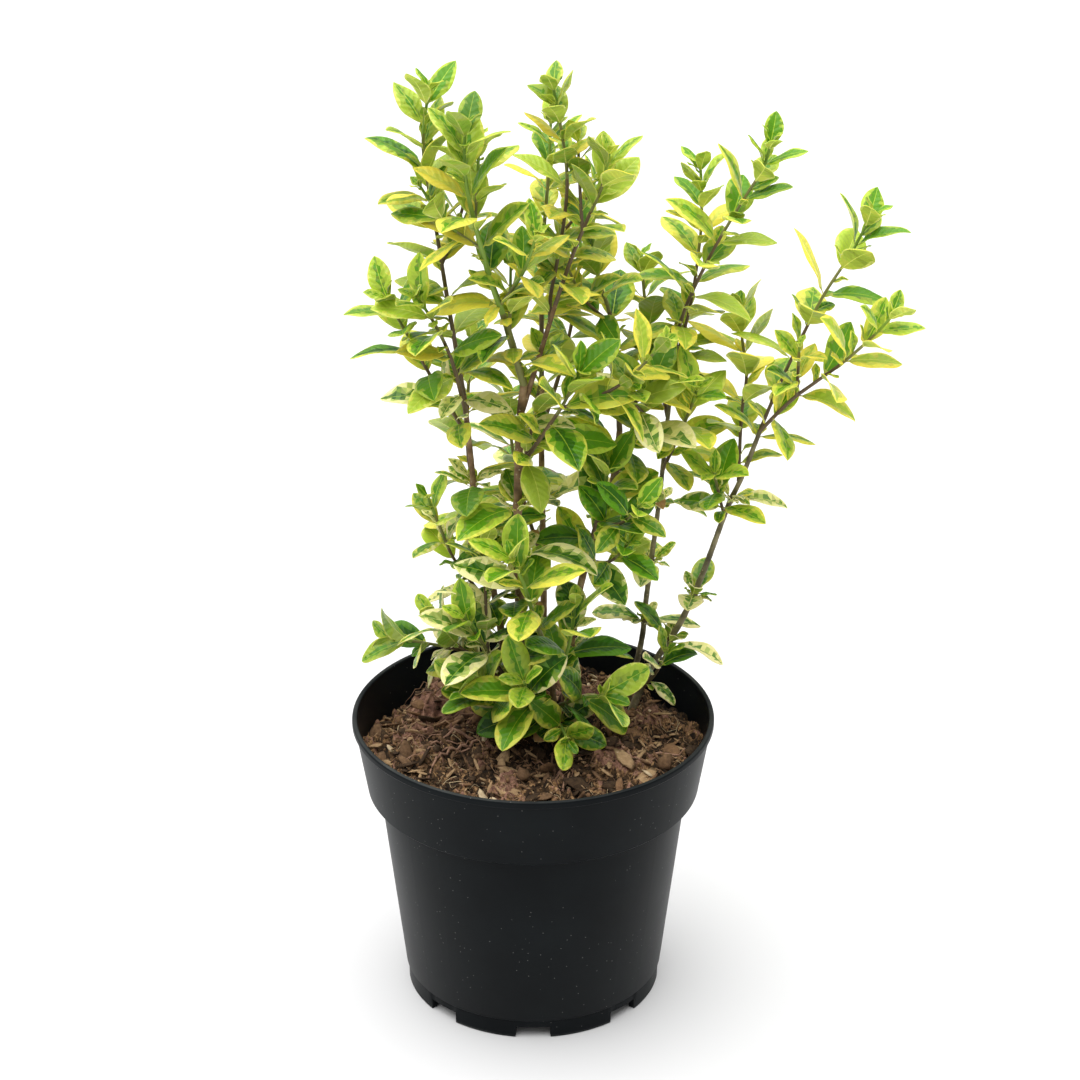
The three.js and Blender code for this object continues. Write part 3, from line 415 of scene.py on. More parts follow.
class Privet:
    """The whole plant's stems and leaves, grown by the seeded rule."""

    def __init__(self):
        self.stems = {}
        self.leaves = []
        self.outlines = []
        for name, limb in LIMBS.items():
            flare = ROOT_FLARE * limb["foot"] if name.startswith("stem") else 0
            route = smooth_route(limb["route"])
            self.add_stem(name, route, limb["foot"], limb["tip"], LIMB_BLOCKS, flare=flare)
        for name, shoot in SHOOTS.items():
            route = smooth_route(shoot["route"])
            traits = dict(node=name, tint=shoot["tint"], leaf=shoot["leaf"])
            self.add_stem(name, route, shoot["foot"], SHOOT_TIP, SHOOT_BLOCKS, **traits)
        for i, (name, shoot) in enumerate(SHOOTS.items()):
            route = self.stems[name]["route"]
            first = shoot["pitch"] * FIRST_PAIR
            self.grow_shoot(name, name, route, shoot, shoot["twigs"], seeded(i + SHOOT_SEED), [], first)
        for i, (name, row) in enumerate(PAIRS.items()):
            self.grow_pairs(name, row, seeded(i + PAIR_SEED))
        self.grow_finer(seeded(FINE_SEED))

    def add_stem(self, name, route, foot, tip, block_count, **traits):
        self.stems[name] = dict(route=route, foot=foot, tip=tip, **traits)
        self.outlines += blocks_along(route, foot, tip, name, block_count)

    def add_leaf(self, spot, azimuth, spread, length, draws, ignore):
        """A leaf at a spot, in the first way of those tried that touches nothing, or no leaf."""
        roll = (draws[2] - 0.5) * ROLL_RANGE
        azimuth += (draws[0] - 0.5) * AZIMUTH_RANGE
        spread += (draws[1] - 0.5) * SPREAD_RANGE
        for turn, tilt, share in TRIES:
            way, face, side = leaf_frame(spot["heading"], azimuth + turn, spread + tilt, roll)
            leaf = dict(spot, root=spot["place"], way=way, face=face, side=side, draws=draws)
            leaf["length"] = length * share * (LENGTH_LEAST + LENGTH_RANGE * draws[3])
            leaf["fold"] = FOLD_LEAST + FOLD_RANGE * draws[4]
            leaf["arch"] = ARCH_LEAST + ARCH_RANGE * draws[5] * (1 - 0.5 * spot["u"])
            leaf["width"] = leaf["length"] * (WIDTH_LEAST + WIDTH_RANGE * draws[4])
            corners = leaf_corners(leaf, CLEAR)
            outline = Outline(corners, LEAF_FACES, spot["key"])
            if meets_pot(corners) or touches(outline, self.outlines, ignore):
                continue
            self.outlines.append(outline)
            self.leaves.append(leaf)
            return

    def add_pair(self, spot, keys, azimuth, spread, length, draw, ignore):
        """Two opposite leaves at a spot."""
        for side in (0, 1):
            place = dict(spot, key=keys[side])
            self.add_leaf(place, azimuth + 180 * side, spread, length, leaf_draws(draw), ignore)

    def grow_shoot(self, node, name, route, row, twigs, draw, ignore, first):
        """Leaf pairs up a shoot, each at right angles to the last, closer and smaller to the tip."""
        pitch, leaf, turn, tint, tip = (row[key] for key in ("pitch", "leaf", "turn", "tint", "tip"))
        total = route[1][-1]
        s, k = first, 0
        while s < total - 1:
            u = s / total
            place, heading = along(route, s)
            keys = [f"{name}_{k}_0", f"{name}_{k}_1"]
            skip = {name, *ignore, *keys}
            spread = FOOT_SPREAD - SPREAD_FALL * u ** 1.6
            spot = dict(node=node, place=place, heading=heading, u=u, tint=tint)
            self.add_pair(spot, keys, turn + 90 * k, spread, leaf * size_share(u, tip), draw, skip)
            if next(draw) < twigs and TWIGS_FROM < u < TWIGS_TO:
                azimuth = turn + 90 * k + (180 if next(draw) < 0.5 else 0)
                self.grow_twig(node, f"{name}_t{k}", place, heading, azimuth, leaf, tint, draw, [name, *keys])
            s += max(pitch * (1 - PITCH_FALL * u ** 1.5), LEAST_PITCH)
            k += 1
        place, heading = along(route, total)
        keys = [f"{name}_{n}_{side}" for n in (k, k - 1) for side in (0, 1)]
        skip = {name, *ignore, *keys}
        spread = TIP_SPREAD + TIP_SPREAD_RISE * tip
        spot = dict(node=node, place=place - heading, heading=heading, u=1, tint=tint)
        self.add_pair(spot, keys, turn + 90 * k, spread, leaf * TIP_PAIR_SHARE * tip, draw, skip)

    def grow_twig(self, node, name, place, heading, azimuth, leaf, tint, draw, ignore):
        """A side twig with smaller leaves, left out where it would touch anything."""
        length = leaf * (TWIG_LEAST + TWIG_RANGE * next(draw))
        way = heading * TWIG_FORWARD + outward(heading, azimuth) * TWIG_OUTWARD
        mid = place + unit(way) * length * 0.5
        end = place + unit(way + np.array([0, 0, TWIG_RISE])) * length
        route = smooth_route([place, mid, end])
        blocks = blocks_along(route, TWIG_FOOT, TWIG_TIP, name, TWIG_BLOCKS)
        skip = {name, *ignore}
        if meets_pot([end] * 3) or any(touches(b, self.outlines, skip) for b in blocks):
            return
        self.outlines += blocks
        leaf *= TWIG_LEAF_SHARE
        self.stems[name] = dict(node=node, route=route, foot=TWIG_FOOT, tip=TWIG_TIP, tint=tint, leaf=leaf)
        row = dict(pitch=TWIG_PITCH, leaf=leaf, turn=azimuth + 45, tip=TWIG_TIP_SHARE, tint=tint)
        self.grow_shoot(node, name, route, row, 0, draw, ignore, TWIG_FIRST_PAIR)

    def grow_finer(self, draw):
        """Small leaves in the angles between the pairs, too fine for the solids."""
        for name, stem in list(self.stems.items()):
            bare = name in LIMBS
            if bare and name not in PAIRS:
                continue
            total = stem["route"][1][-1]
            if bare:
                spots = [s + step for s in stem["nodes"] for step in FINE_NODE_STEPS]
                traits = dict(node=pair_node(name, 1), tint=PAIR_TINT, back=FINE_BACK)
                longest = PAIRS[name]["leaf"]
            else:
                spots = list(np.arange(4, total - 2, FINE_STEP))
                traits = dict(node=stem["node"], tint=stem["tint"])
                longest = stem["leaf"]
            for k, s in enumerate(spots):
                place, heading = along(stem["route"], s)
                u = 0.3 if bare else s / total
                for side in (0, 1):
                    azimuth = 360 * next(draw)
                    draws = leaf_draws(draw)
                    size = longest * (FINE_LEAST + FINE_RANGE * next(draw)) * (1 - 0.3 * u)
                    key = f"{name}_fine_{k}_{side}"
                    root = place
                    if bare:
                        root = place + outward(heading, azimuth) * (stem_radius(stem, s) + FINE_OFF_STEM)
                    spot = dict(traits, place=root, heading=heading, u=u, key=key)
                    self.add_leaf(spot, azimuth, FINE_SPREAD - FINE_SPREAD_FALL * u, size, draws, {name, key})

    def grow_pairs(self, name, row, draw):
        """Leaf pairs that sit straight on a bare stem, each with a smaller pair beside it."""
        limb = self.stems[name]
        line, run = limb["route"]
        limb["nodes"] = []
        for k, height in enumerate(row["heights"]):
            i = next(n for n, p in enumerate(line) if p[2] >= height)
            share = (height - line[i - 1][2]) / (line[i][2] - line[i - 1][2])
            s = run[i - 1] + (run[i] - run[i - 1]) * share
            limb["nodes"].append(s)
            place, heading = along(limb["route"], s)
            node = pair_node(name, k + 1)
            keys = [f"{node}_{n}" for n in range(4)]
            for part, (turn, spread, size) in enumerate(PAIR_PARTS):
                for side in (0, 1):
                    azimuth = row["turn"] + 90 * k + 180 * side + turn
                    root = place + outward(heading, azimuth) * (stem_radius(limb, s) + PAIR_OFF_STEM)
                    spot = dict(node=node, place=root, heading=heading, u=0.2, key=keys[part * 2 + side],
                                tint=PAIR_TINT, back=PAIR_BACK)
                    self.add_leaf(spot, azimuth, spread, row["leaf"] * size, leaf_draws(draw), {name, *keys})


def stem_radius(stem, s):
    """Radius of a stem at a length run, with its root flare."""
    total = stem["route"][1][-1]
    flare = stem.get("flare", 0) * math.exp(-s / FLARE_HEIGHT)
    return stem["foot"] + (stem["tip"] - stem["foot"]) * s / total + flare


def soil_height(x, y):
    """Height of the soil: a low mound with uneven lumps, and a gap behind the root ball on each side."""
    z = SOIL_LEVEL + SOIL_MOUND * np.exp(-(np.hypot(x, y) / MOUND_RADIUS) ** 2)
    z = z + 1.1 * np.sin(x * 0.16 + 1) * np.cos(y * 0.13) + 0.7 * np.sin(x * 0.31 - y * 0.27)
    for angle, radius, wide, deep in HOLLOWS:
        a = math.radians(angle)
        d = np.hypot(x - radius * math.cos(a), y - radius * math.sin(a))
        z = z - deep * np.exp(-(d / wide) ** 2)
    return np.maximum(z, COLLAR_FOOT + 4)


def pot_inside(z):
    """Inner radius of the pot at a height."""
    if z > COLLAR_FOOT:
        rise = (z - COLLAR_FOOT) / (POT_HEIGHT - LIP_HEIGHT - COLLAR_FOOT)
        return COLLAR_FOOT_RADIUS - POT_WALL + (COLLAR_TOP_RADIUS - COLLAR_FOOT_RADIUS) * rise
    rise = (z - FOOT_RING_HEIGHT) / (COLLAR_FOOT - 2 - FOOT_RING_HEIGHT)
    return BODY_FOOT_RADIUS - POT_WALL + (BODY_TOP_RADIUS - BODY_FOOT_RADIUS) * rise


# Meshes

class Pile:
    """Many small things gathered to be joined into one mesh of four-sided faces."""

    def __init__(self):
        self.points, self.faces, self.slots, self.places, self.count = [], [], [], [], 0

    def add(self, points, faces, slots, places=None):
        self.points.append(points)
        self.faces.append(faces + self.count)
        self.slots.append(np.broadcast_to(slots, len(faces)))
        self.places.append(np.zeros((len(points), 2)) if places is None else places)
        self.count += len(points)

    def mesh(self, name, materials, smooth=True):
        points = np.concatenate(self.points) * MM
        faces = np.concatenate(self.faces)
        mesh = bpy.data.meshes.new(name)
        mesh.from_pydata(points.tolist(), [], faces.tolist())
        mesh.polygons.foreach_set("material_index", np.concatenate(self.slots).astype(np.int32))
        mesh.polygons.foreach_set("use_smooth", np.full(len(faces), smooth))
        where = mesh.uv_layers.new(name="along_and_across")
        where.data.foreach_set("uv", np.concatenate(self.places)[faces.ravel()].ravel())
        for material in materials:
            mesh.materials.append(material)
        mesh.update()
        piece = bpy.data.objects.new(name, mesh)
        bpy.context.collection.objects.link(piece)
        return piece


def grid_faces(rows, columns, closed=False):
    """Faces of a grid of points; a closed grid joins its last column to its first."""
    r, c = np.meshgrid(np.arange(rows - 1), np.arange(columns if closed else columns - 1), indexing="ij")
    r, c = r.ravel(), c.ravel()
    d = (c + 1) % columns
    return np.stack([r * columns + c, r * columns + d, (r + 1) * columns + d, (r + 1) * columns + c], 1)


def tube(places, headings, radii, sides):
    """A tube round a line of places, with its ends left open."""
    rings = []
    for place, heading, radius in zip(places, headings, radii):
        rings.append([place + outward(heading, 360 * k / sides) * radius for k in range(sides)])
    return np.array(rings).reshape(-1, 3), grid_faces(len(places), sides, closed=True)


def waves(draws, t, pitch):
    """A smooth uneven line from -1 to 1, different for each leaf."""
    return 0.6 * np.sin(pitch * t + 6.3 * draws[0]) + 0.4 * np.sin(2.3 * pitch * t + 6.3 * draws[1])


# Leaves

def linear(colour):
    """The linear values of an sRGB hex colour."""
    parts = [int(colour[i:i + 2], 16) / 255 for i in (1, 3, 5)]
    return [p / 12.92 if p <= 0.04045 else ((p + 0.055) / 1.055) ** 2.4 for p in parts] + [1.0]


# Colours of a privet leaf in soft daylight: the gold, cream and young ones, the undersides and the dry tips.
LEAF_COLOURS = {
    "gold": "#f0de50", "gold_lime": "#e3da53", "lime": "#ccce50", "bright": "#9eb538",
    "green": "#568a14", "deep": "#2b5c08", "cream": "#f2e8a6", "pale": "#e3de8e",
    "sage": "#b0c066", "grey_green": "#618836", "young": "#a4bc38", "young_pale": "#cbd25d",
    "back_pale": "#dbde82", "back": "#afc150", "back_deep": "#84a33a", "dry": "#a07c4e",
}
# Each colour comes in a darker, a plain and a lighter shade, for tone that differs at random from leaf to
# leaf and also for painted shade low on the plant and painted light at its right-hand side.
SHADES = (0.78, 1.0, 1.17)
PLAIN_COLOURS = [linear(code)[:3] for code in LEAF_COLOURS.values()]
PALETTE = np.array([[c * shade for c in plain] for plain in PLAIN_COLOURS for shade in SHADES])
# Steps of plain colour from one band of a leaf to the next.
RUN_STEPS = 4

# Kinds of leaf for each tint: the colours of five bands from the edge to the midrib.
LEAF_KINDS = {
    GOLD: ["gold gold gold_lime lime bright", "gold gold_lime lime bright bright",
           "gold gold gold gold_lime lime", "gold_lime lime lime bright green",
           "lime lime bright bright green"],
    LIME: ["gold_lime lime bright bright green", "lime bright bright green green",
           "gold_lime lime lime bright green", "young_pale young young bright bright",
           "bright bright green green green", "lime bright green green deep"],
    CREAM: ["cream pale sage grey_green green", "cream cream sage grey_green deep",
            "cream cream pale sage grey_green", "cream cream pale pale grey_green",
            "pale lime bright green green"],
    DARK: ["lime bright green green deep", "green green green deep deep", "bright green green green deep",
           "lime lime bright green green", "cream sage green deep deep"],
}
YOUNG_KINDS = ["young_pale young bright bright green", "lime young bright bright green",
               "young_pale young bright green green", "young bright green green green"]
MARBLED_EDGES = ("cream", "pale")
# The midrib's colour beside a leaf's middle band; beside any other it is young_pale.
RIB_COLOURS = {"green": "young", "deep": "bright", "sage": "pale", "grey_green": "pale"}
# The tint that some leaves of each tint borrow, as neighbours on one shoot differ, and their share.
BORROWED = {GOLD: LIME, LIME: GOLD, CREAM: LIME, DARK: LIME}
BORROWED_SHARE = 0.25
# Leaves below LOW_LEAVES get painted shade, one shade darker, and are mostly deep green, partly their own
# colour and partly painted shade; up to CREAM_LEAVES more of them are cream; those to the right of
# RIGHT_LEAVES get painted light, one shade lighter; and those beyond YOUNG_FROM of a shoot's length are
# young.
LOW_LEAVES = 190
DARK_AND_SHADED_SHARE = 0.85
CREAM_LEAVES = 300
CREAM_SHARE = 0.4
RIGHT_LEAVES = 65
YOUNG_FROM = 0.8
# The share of marbled leaves with a dry tip, and how far up the leaf it starts, less a chance part.
DRY_SHARE = 0.12
DRY_FROM, DRY_RANGE = 0.86, 0.1
# A leaf's mesh: stations along it, share of its stalk, half width of its rib, half its thickness, and the
# lines between its bands as shares of its half width.
LEAF_STATIONS = 17
STALK_SHARE = 0.08
RIB_HALF = 0.24
LEAF_HALF_THICK = 0.14
BANDS = (0.85, 0.67, 0.47, 0.25)
BAND_GAP = 0.03
OUTER_BAND = 0.98
# Leaves are roundest up to this height and most pointed at this much above it.
ROUND_UP_TO = 140
POINTED_OVER = 150
# Powers of the outline at a leaf's foot and tip, how much they grow with height and by chance, and how much
# fuller it is than its plain width.
FOOT_POWER, FOOT_POINTED = 0.78, 0.1
TIP_POWER, TIP_POINTED, TIP_RANGE = 0.6, 0.22, 0.14
FULLNESS = 1.06
# How far a leaf's edges droop, as shares of its half width, and the height of the ripples along them.
DROOP_LEAST, DROOP_RANGE = 0.06, 0.34
RIPPLE = 0.6
# How far patches of colour stray from their band, in bands: on a marbled leaf, on a plainer one and in
# fine streaks.
BLOTCHED = 1.3
BLENDED = 0.6
STREAKED = 0.22


def leaf_slot(colour, shade):
    """The slot of a plain colour in one of its shades."""
    return list(LEAF_COLOURS).index(colour) * len(SHADES) + shade


def another(draw, times):
    """A second chance value made from a draw, so that the order of the draws stays."""
    return (draw * times) % 1


def pick(kinds, draw):
    """The colours of one of a list's kinds of leaf, chosen by a draw from 0 to 1."""
    return tuple(kinds[int(draw * 0.999 * len(kinds))].split())


def leaf_kind(leaf):
    """The colours of a leaf's five bands."""
    d = leaf["draws"]
    if leaf["u"] > YOUNG_FROM:
        return pick(YOUNG_KINDS, d[2])
    tint = leaf["tint"]
    # Half way up the plant the greener shoots carry cream leaves too.
    borrowed, share = BORROWED[tint], BORROWED_SHARE
    if tint == LIME and LOW_LEAVES < leaf["root"][2] < CREAM_LEAVES:
        borrowed, share = CREAM, CREAM_SHARE
    if another(d[5], 7.3) < share:
        tint = borrowed
    # Leaves low on the plant are mostly deep green, partly their own colour and partly painted shade
    # for the shade they stand in.
    if leaf["root"][2] < LOW_LEAVES and tint in (GOLD, LIME) and another(d[4], 9.1) < DARK_AND_SHADED_SHARE:
        tint = DARK
    return pick(LEAF_KINDS[tint], d[2])


def leaf_shade_with_painted_light(leaf):
    """The shade of a leaf, at random, with painted shade one step darker low on the plant and painted light
    one step lighter at its right.
    """
    shade = int(leaf["draws"][3] * 2.999)
    # Painted shade: low leaves are one step darker.
    if leaf["root"][2] < LOW_LEAVES:
        return max(shade - 1, 0)
    # Painted light: leaves at the right-hand side are one step lighter.
    if leaf["root"][0] > RIGHT_LEAVES:
        return min(shade + 1, len(SHADES) - 1)
    return shade


@functools.lru_cache(maxsize=None)
def colour_run(names, shade):
    """Slots of the plain colours nearest to an even run through the named ones."""
    stops = np.array([linear(LEAF_COLOURS[name])[:3] for name in names]) * SHADES[shade]
    places = np.linspace(0, len(names) - 1, RUN_STEPS * (len(names) - 1) + 1)
    wanted = np.stack([np.interp(places, range(len(names)), stops[:, c]) for c in range(3)], 1)
    far = ((np.sqrt(wanted)[:, None] - np.sqrt(PALETTE)[None]) ** 2).sum(-1)
    return np.argmin(far, 1)


def from_run(names, shade, places):
    """The slots at places along a run of colour, counted in bands."""
    run = colour_run(names, shade)
    return run[np.clip(np.rint(places * RUN_STEPS), 0, len(run) - 1).astype(int)]


def patches(kind, shade, blade, first, second):
    """Colours along and across half a leaf: a run from edge to middle that strays in small patches."""
    blotched = BLOTCHED if kind[0] in MARBLED_EDGES else BLENDED
    band = np.arange(len(kind))[None]
    place = blade[:, None]
    patch = np.sin(25 * place + 2.1 * band + 40 * first) * np.sin(12 * place - 2.7 * band + 40 * second)
    streak = np.sin(60 * place + 3.1 * band + 50 * second)
    return from_run(kind, shade, band + blotched * patch + STREAKED * streak)


def upper_slots(kind, shade, blade, d):
    """Colours of the upper skin between its stations, from its left edge to its right one."""
    rib = np.full((len(blade), 1), leaf_slot(RIB_COLOURS.get(kind[4], "young_pale"), shade))
    right = patches(kind, shade, blade, d[1], d[5])[:, ::-1]
    slots = np.concatenate([patches(kind, shade, blade, d[0], d[4]), rib, right], 1)
    slots[blade <= 0] = leaf_slot("young_pale", 0)
    if kind[0] in MARBLED_EDGES and another(d[3], 13.7) < DRY_SHARE:
        slots[blade > DRY_FROM - DRY_RANGE * d[1]] = leaf_slot("dry", 1)
    return slots.ravel()


def lower_slots(kind, shade, blade, d):
    """Colours of the lower skin, which is duller and paler than the upper one."""
    paler = 0.3 if kind[1] in ("gold", "gold_lime", *MARBLED_EDGES) else 0
    deeper = 0.35 if kind[4] == "deep" else 0
    edge = 0.5 - paler + 0.4 * np.sin(11 * blade + 40 * d[0])
    middle = 1.15 + deeper + 0.5 * np.sin(7 * blade + 40 * d[1])
    across = np.stack([edge, middle, 0 * blade, middle[::-1], edge[::-1]], 1)
    return from_run(("back_pale", "back", "back_deep"), shade, across).ravel()


def band_lines(marbled, blade, rib, d):
    """The wandering lines between the bands of each half, from the rib out, as shares of the half width."""
    closing = (1 - 0.4 * blade ** 7) * (1 - 0.3 * np.exp(-blade * 14))
    wander = 0.3 if marbled else 0.2
    reach = (0.84 if marbled else 0.94) + 0.26 * d[4]
    halves = []
    for n in (0, 1):
        inner = rib
        lines = []
        for b, band in reversed(list(enumerate(BANDS))):
            draws = [d[(b + n) % DRAWS_PER_LEAF], d[(b + 3 * n + 2) % DRAWS_PER_LEAF]]
            line = band * reach + wander * waves(draws, blade + 2.4 * n, 13 + 3 * b)
            inner = np.clip(line * closing, inner + BAND_GAP, OUTER_BAND - BAND_GAP * b)
            lines.append(inner)
        halves.append(lines)
    return halves


def add_leaf_mesh(pile, leaf):
    """One leaf: an upper and a lower skin in bands of colour, and the thin edge between them."""
    d = leaf["draws"]
    kind = leaf_kind(leaf)
    shade = leaf_shade_with_painted_light(leaf)

    step = np.linspace(0, 1, LEAF_STATIONS)
    t = 0.55 * (1 - np.cos(math.pi * step)) / 2 + 0.45 * step
    blade = np.clip((t - STALK_SHARE) / (1 - STALK_SHARE), 0, 1)
    high = min(max((leaf["root"][2] - ROUND_UP_TO) / POINTED_OVER, 0), 1)
    foot = FOOT_POWER + FOOT_POINTED * high
    tip = TIP_POWER + TIP_POINTED * high + TIP_RANGE * d[1]
    outline = blade ** foot * (1 - blade) ** tip
    outline = outline / outline.max()
    stalk = RIB_HALF * 1.6 * (1 - np.clip(blade * 8, 0, 1)) * (blade < 1)
    half = leaf["width"] / 2 * outline * FULLNESS + stalk
    distance = t * leaf["length"]
    distance[0] = -leaf.get("back", 0)
    place, _, up = midrib(leaf, distance)

    one = np.ones(LEAF_STATIONS)
    rib = np.clip(RIB_HALF * (1.2 - blade) / np.maximum(half, 0.01), 0.015, 0.6)
    left, right = band_lines(kind[0] in MARBLED_EDGES, blade, rib, d)
    columns = np.stack([-one] + [-c for c in reversed(left)] + [-rib, rib] + right + [one], 1)
    fold = math.radians(leaf["fold"]) * np.clip(blade * 5, 0, 1)[:, None]
    droop = DROOP_LEAST + DROOP_RANGE * d[0]

    def skin(c, lift):
        """Points of the leaf at shares of its half width, and where they lie for its materials."""
        a = np.abs(c)
        ripple = RIPPLE * np.sin(8 * blade[:, None] + 6.3 * d[5] + 1.3 * (c > 0)) * a ** 2 * outline[:, None]
        rise = half[:, None] * (np.sin(fold) * (np.sqrt(a * a + 0.01) - 0.1) - droop * a ** 3) + ripple + lift
        out = half[:, None] * c * np.cos(fold)
        points = place[:, None] + leaf["side"] * out[..., None] + up[:, None] * rise[..., None]
        where = np.stack([distance[:, None] - 0.8 * np.abs(out), out], -1) + 40 * d[4]
        return points.reshape(-1, 3), where.reshape(-1, 2)

    points, where = skin(columns, LEAF_HALF_THICK)
    faces = grid_faces(LEAF_STATIONS, columns.shape[1])
    pile.add(points, faces, upper_slots(kind, shade, blade[:-1], d), where)

    under = np.stack([-one, -0.5 * (left[2] + one), -rib, rib, 0.5 * (right[2] + one), one], 1)
    points, where = skin(under, -LEAF_HALF_THICK)
    faces = grid_faces(LEAF_STATIONS, under.shape[1])[:, ::-1]
    pile.add(points, faces, lower_slots(kind, shade, blade[:-1], d), where)

    for c, flip in ((-one, 1), (one, -1)):
        upper, where = skin(c[:, None], LEAF_HALF_THICK)
        lower, _ = skin(c[:, None], -LEAF_HALF_THICK)
        points = np.stack([lower, upper], 1).reshape(-1, 3)
        faces = grid_faces(LEAF_STATIONS, 2)[:, ::flip]
        pile.add(points, faces, leaf_slot(kind[0], shade), np.repeat(where, 2, 0))


# Materials

# Distances in them are in metres. A pattern's scale is 1000 over its real size in millimetres, or on a leaf,
# whose places are in millimetres, 1 over it, and for a wave 0.3 over it.
def node(tree, kind, inputs=None, stops=(), **settings):
    """One shader node with its settings, its input values and links, and a ramp's places and hex colours."""
    made = tree.nodes.new(kind)
    for name, value in settings.items():
        setattr(made, name, value)
    for name, value in (inputs or {}).items():
        if isinstance(value, bpy.types.NodeSocket):
            tree.links.new(value, made.inputs[name])
        else:
            made.inputs[name].default_value = value
    if stops:
        band = made.color_ramp.elements
        for _ in stops[2:]:
            band.new(0.5)
        for element, (place, colour) in zip(band, stops):
            element.position = place
            element.color = linear(colour)
    return made


def new_material(name):
    material = bpy.data.materials.new(name)
    material.use_nodes = True
    material.node_tree.nodes.clear()
    return material, material.node_tree


def leaf_material(name, colour, shade):
    """Privet leaf: a smooth waxy skin over soft green flesh, with faint sunken side veins."""
    material, tree = new_material(name)
    place = node(tree, "ShaderNodeUVMap", uv_map="along_and_across").outputs["UV"]
    # Waxy bloom varies over 3 mm, which breaks up the sheen.
    bloom = node(tree, "ShaderNodeTexNoise", {"Vector": place, "Scale": 0.35, "Detail": 3.0}).outputs["Fac"]
    rough = node(tree, "ShaderNodeMapRange", {"Value": bloom, "To Min": 0.3, "To Max": 0.46})
    # The skin's cells, drawn 0.6 mm wide so that they show, and lanes 3 mm apart for the side veins give a
    # fine uneven light.
    cells = node(tree, "ShaderNodeTexNoise", {"Vector": place, "Scale": 1.6, "Detail": 2.0}).outputs["Fac"]
    lanes = node(tree, "ShaderNodeTexWave", {"Vector": place, "Scale": 0.1, "Distortion": 2.0, "Detail": 1.0})
    height = node(tree, "ShaderNodeMath", {0: lanes.outputs["Fac"], 1: cells}, operation="ADD")
    bump = node(tree, "ShaderNodeBump", {"Height": height.outputs["Value"], "Strength": 0.55,
                                         "Distance": 0.00028})
    skin = node(tree, "ShaderNodeBsdfPrincipled", {
        "Base Color": [min(c * shade, 1.0) for c in linear(colour)[:3]] + [1.0],
        "Roughness": rough.outputs["Result"],
        "IOR": 1.42,
        "Specular IOR Level": 0.36,
        "Subsurface Weight": 0.2,
        "Subsurface Radius": (0.9, 1.0, 0.25),
        "Subsurface Scale": 0.0012,
        "Normal": bump.outputs["Normal"],
    })
    node(tree, "ShaderNodeOutputMaterial", {"Surface": skin.outputs["BSDF"]})
    return material


def stem_material(name, colour):
    """Young privet stem: a thin smooth skin with a faint grain that softens its light."""
    material, tree = new_material(name)
    place = node(tree, "ShaderNodeTexCoord").outputs["Object"]
    # The grain is drawn 0.6 mm wide, as coarse as it needs to show.
    grain = node(tree, "ShaderNodeTexNoise", {"Vector": place, "Scale": 1800.0, "Detail": 3.0}).outputs["Fac"]
    bump = node(tree, "ShaderNodeBump", {"Height": grain, "Strength": 0.4, "Distance": 0.0002})
    rough = node(tree, "ShaderNodeMapRange", {"Value": grain, "To Min": 0.45, "To Max": 0.65})
    skin = node(tree, "ShaderNodeBsdfPrincipled", {
        "Base Color": linear(colour),
        "Roughness": rough.outputs["Result"],
        "IOR": 1.45,
        "Normal": bump.outputs["Normal"],
    })
    node(tree, "ShaderNodeOutputMaterial", {"Surface": skin.outputs["BSDF"]})
    return material


def bark_material(name, tones):
    """Privet bark: smooth, with pale corky breathing pores and fine cracks."""
    material, tree = new_material(name)
    place = node(tree, "ShaderNodeTexCoord").outputs["Object"]
    # Patches are 6 mm wide and pores 2.4 mm apart. The cracks are drawn 1 mm apart so that they show.
    mottle = node(tree, "ShaderNodeTexNoise", {"Vector": place, "Scale": 160.0, "Detail": 5.0}).outputs["Fac"]
    bark = node(tree, "ShaderNodeValToRGB", {"Fac": mottle}, stops=list(zip((0.3, 0.5, 0.7), tones)))
    points = node(tree, "ShaderNodeTexVoronoi", {"Vector": place, "Scale": 420.0}).outputs["Distance"]
    pores = node(tree, "ShaderNodeMath", {0: points, 1: 0.16}, operation="LESS_THAN").outputs["Value"]
    colour = node(tree, "ShaderNodeMix", {"Factor": pores, 6: bark.outputs["Color"], 7: linear("#a4937a")},
                  data_type="RGBA")
    grain = node(tree, "ShaderNodeTexNoise", {"Vector": place, "Scale": 900.0, "Detail": 4.0}).outputs["Fac"]
    height = node(tree, "ShaderNodeMath", {0: grain, 1: pores}, operation="ADD").outputs["Value"]
    bump = node(tree, "ShaderNodeBump", {"Height": height, "Strength": 0.6, "Distance": 0.0003})
    skin = node(tree, "ShaderNodeBsdfPrincipled", {
        "Base Color": colour.outputs[2],
        "Roughness": 0.78,
        "IOR": 1.45,
        "Normal": bump.outputs["Normal"],
    })
    node(tree, "ShaderNodeOutputMaterial", {"Surface": skin.outputs["BSDF"]})
    return material


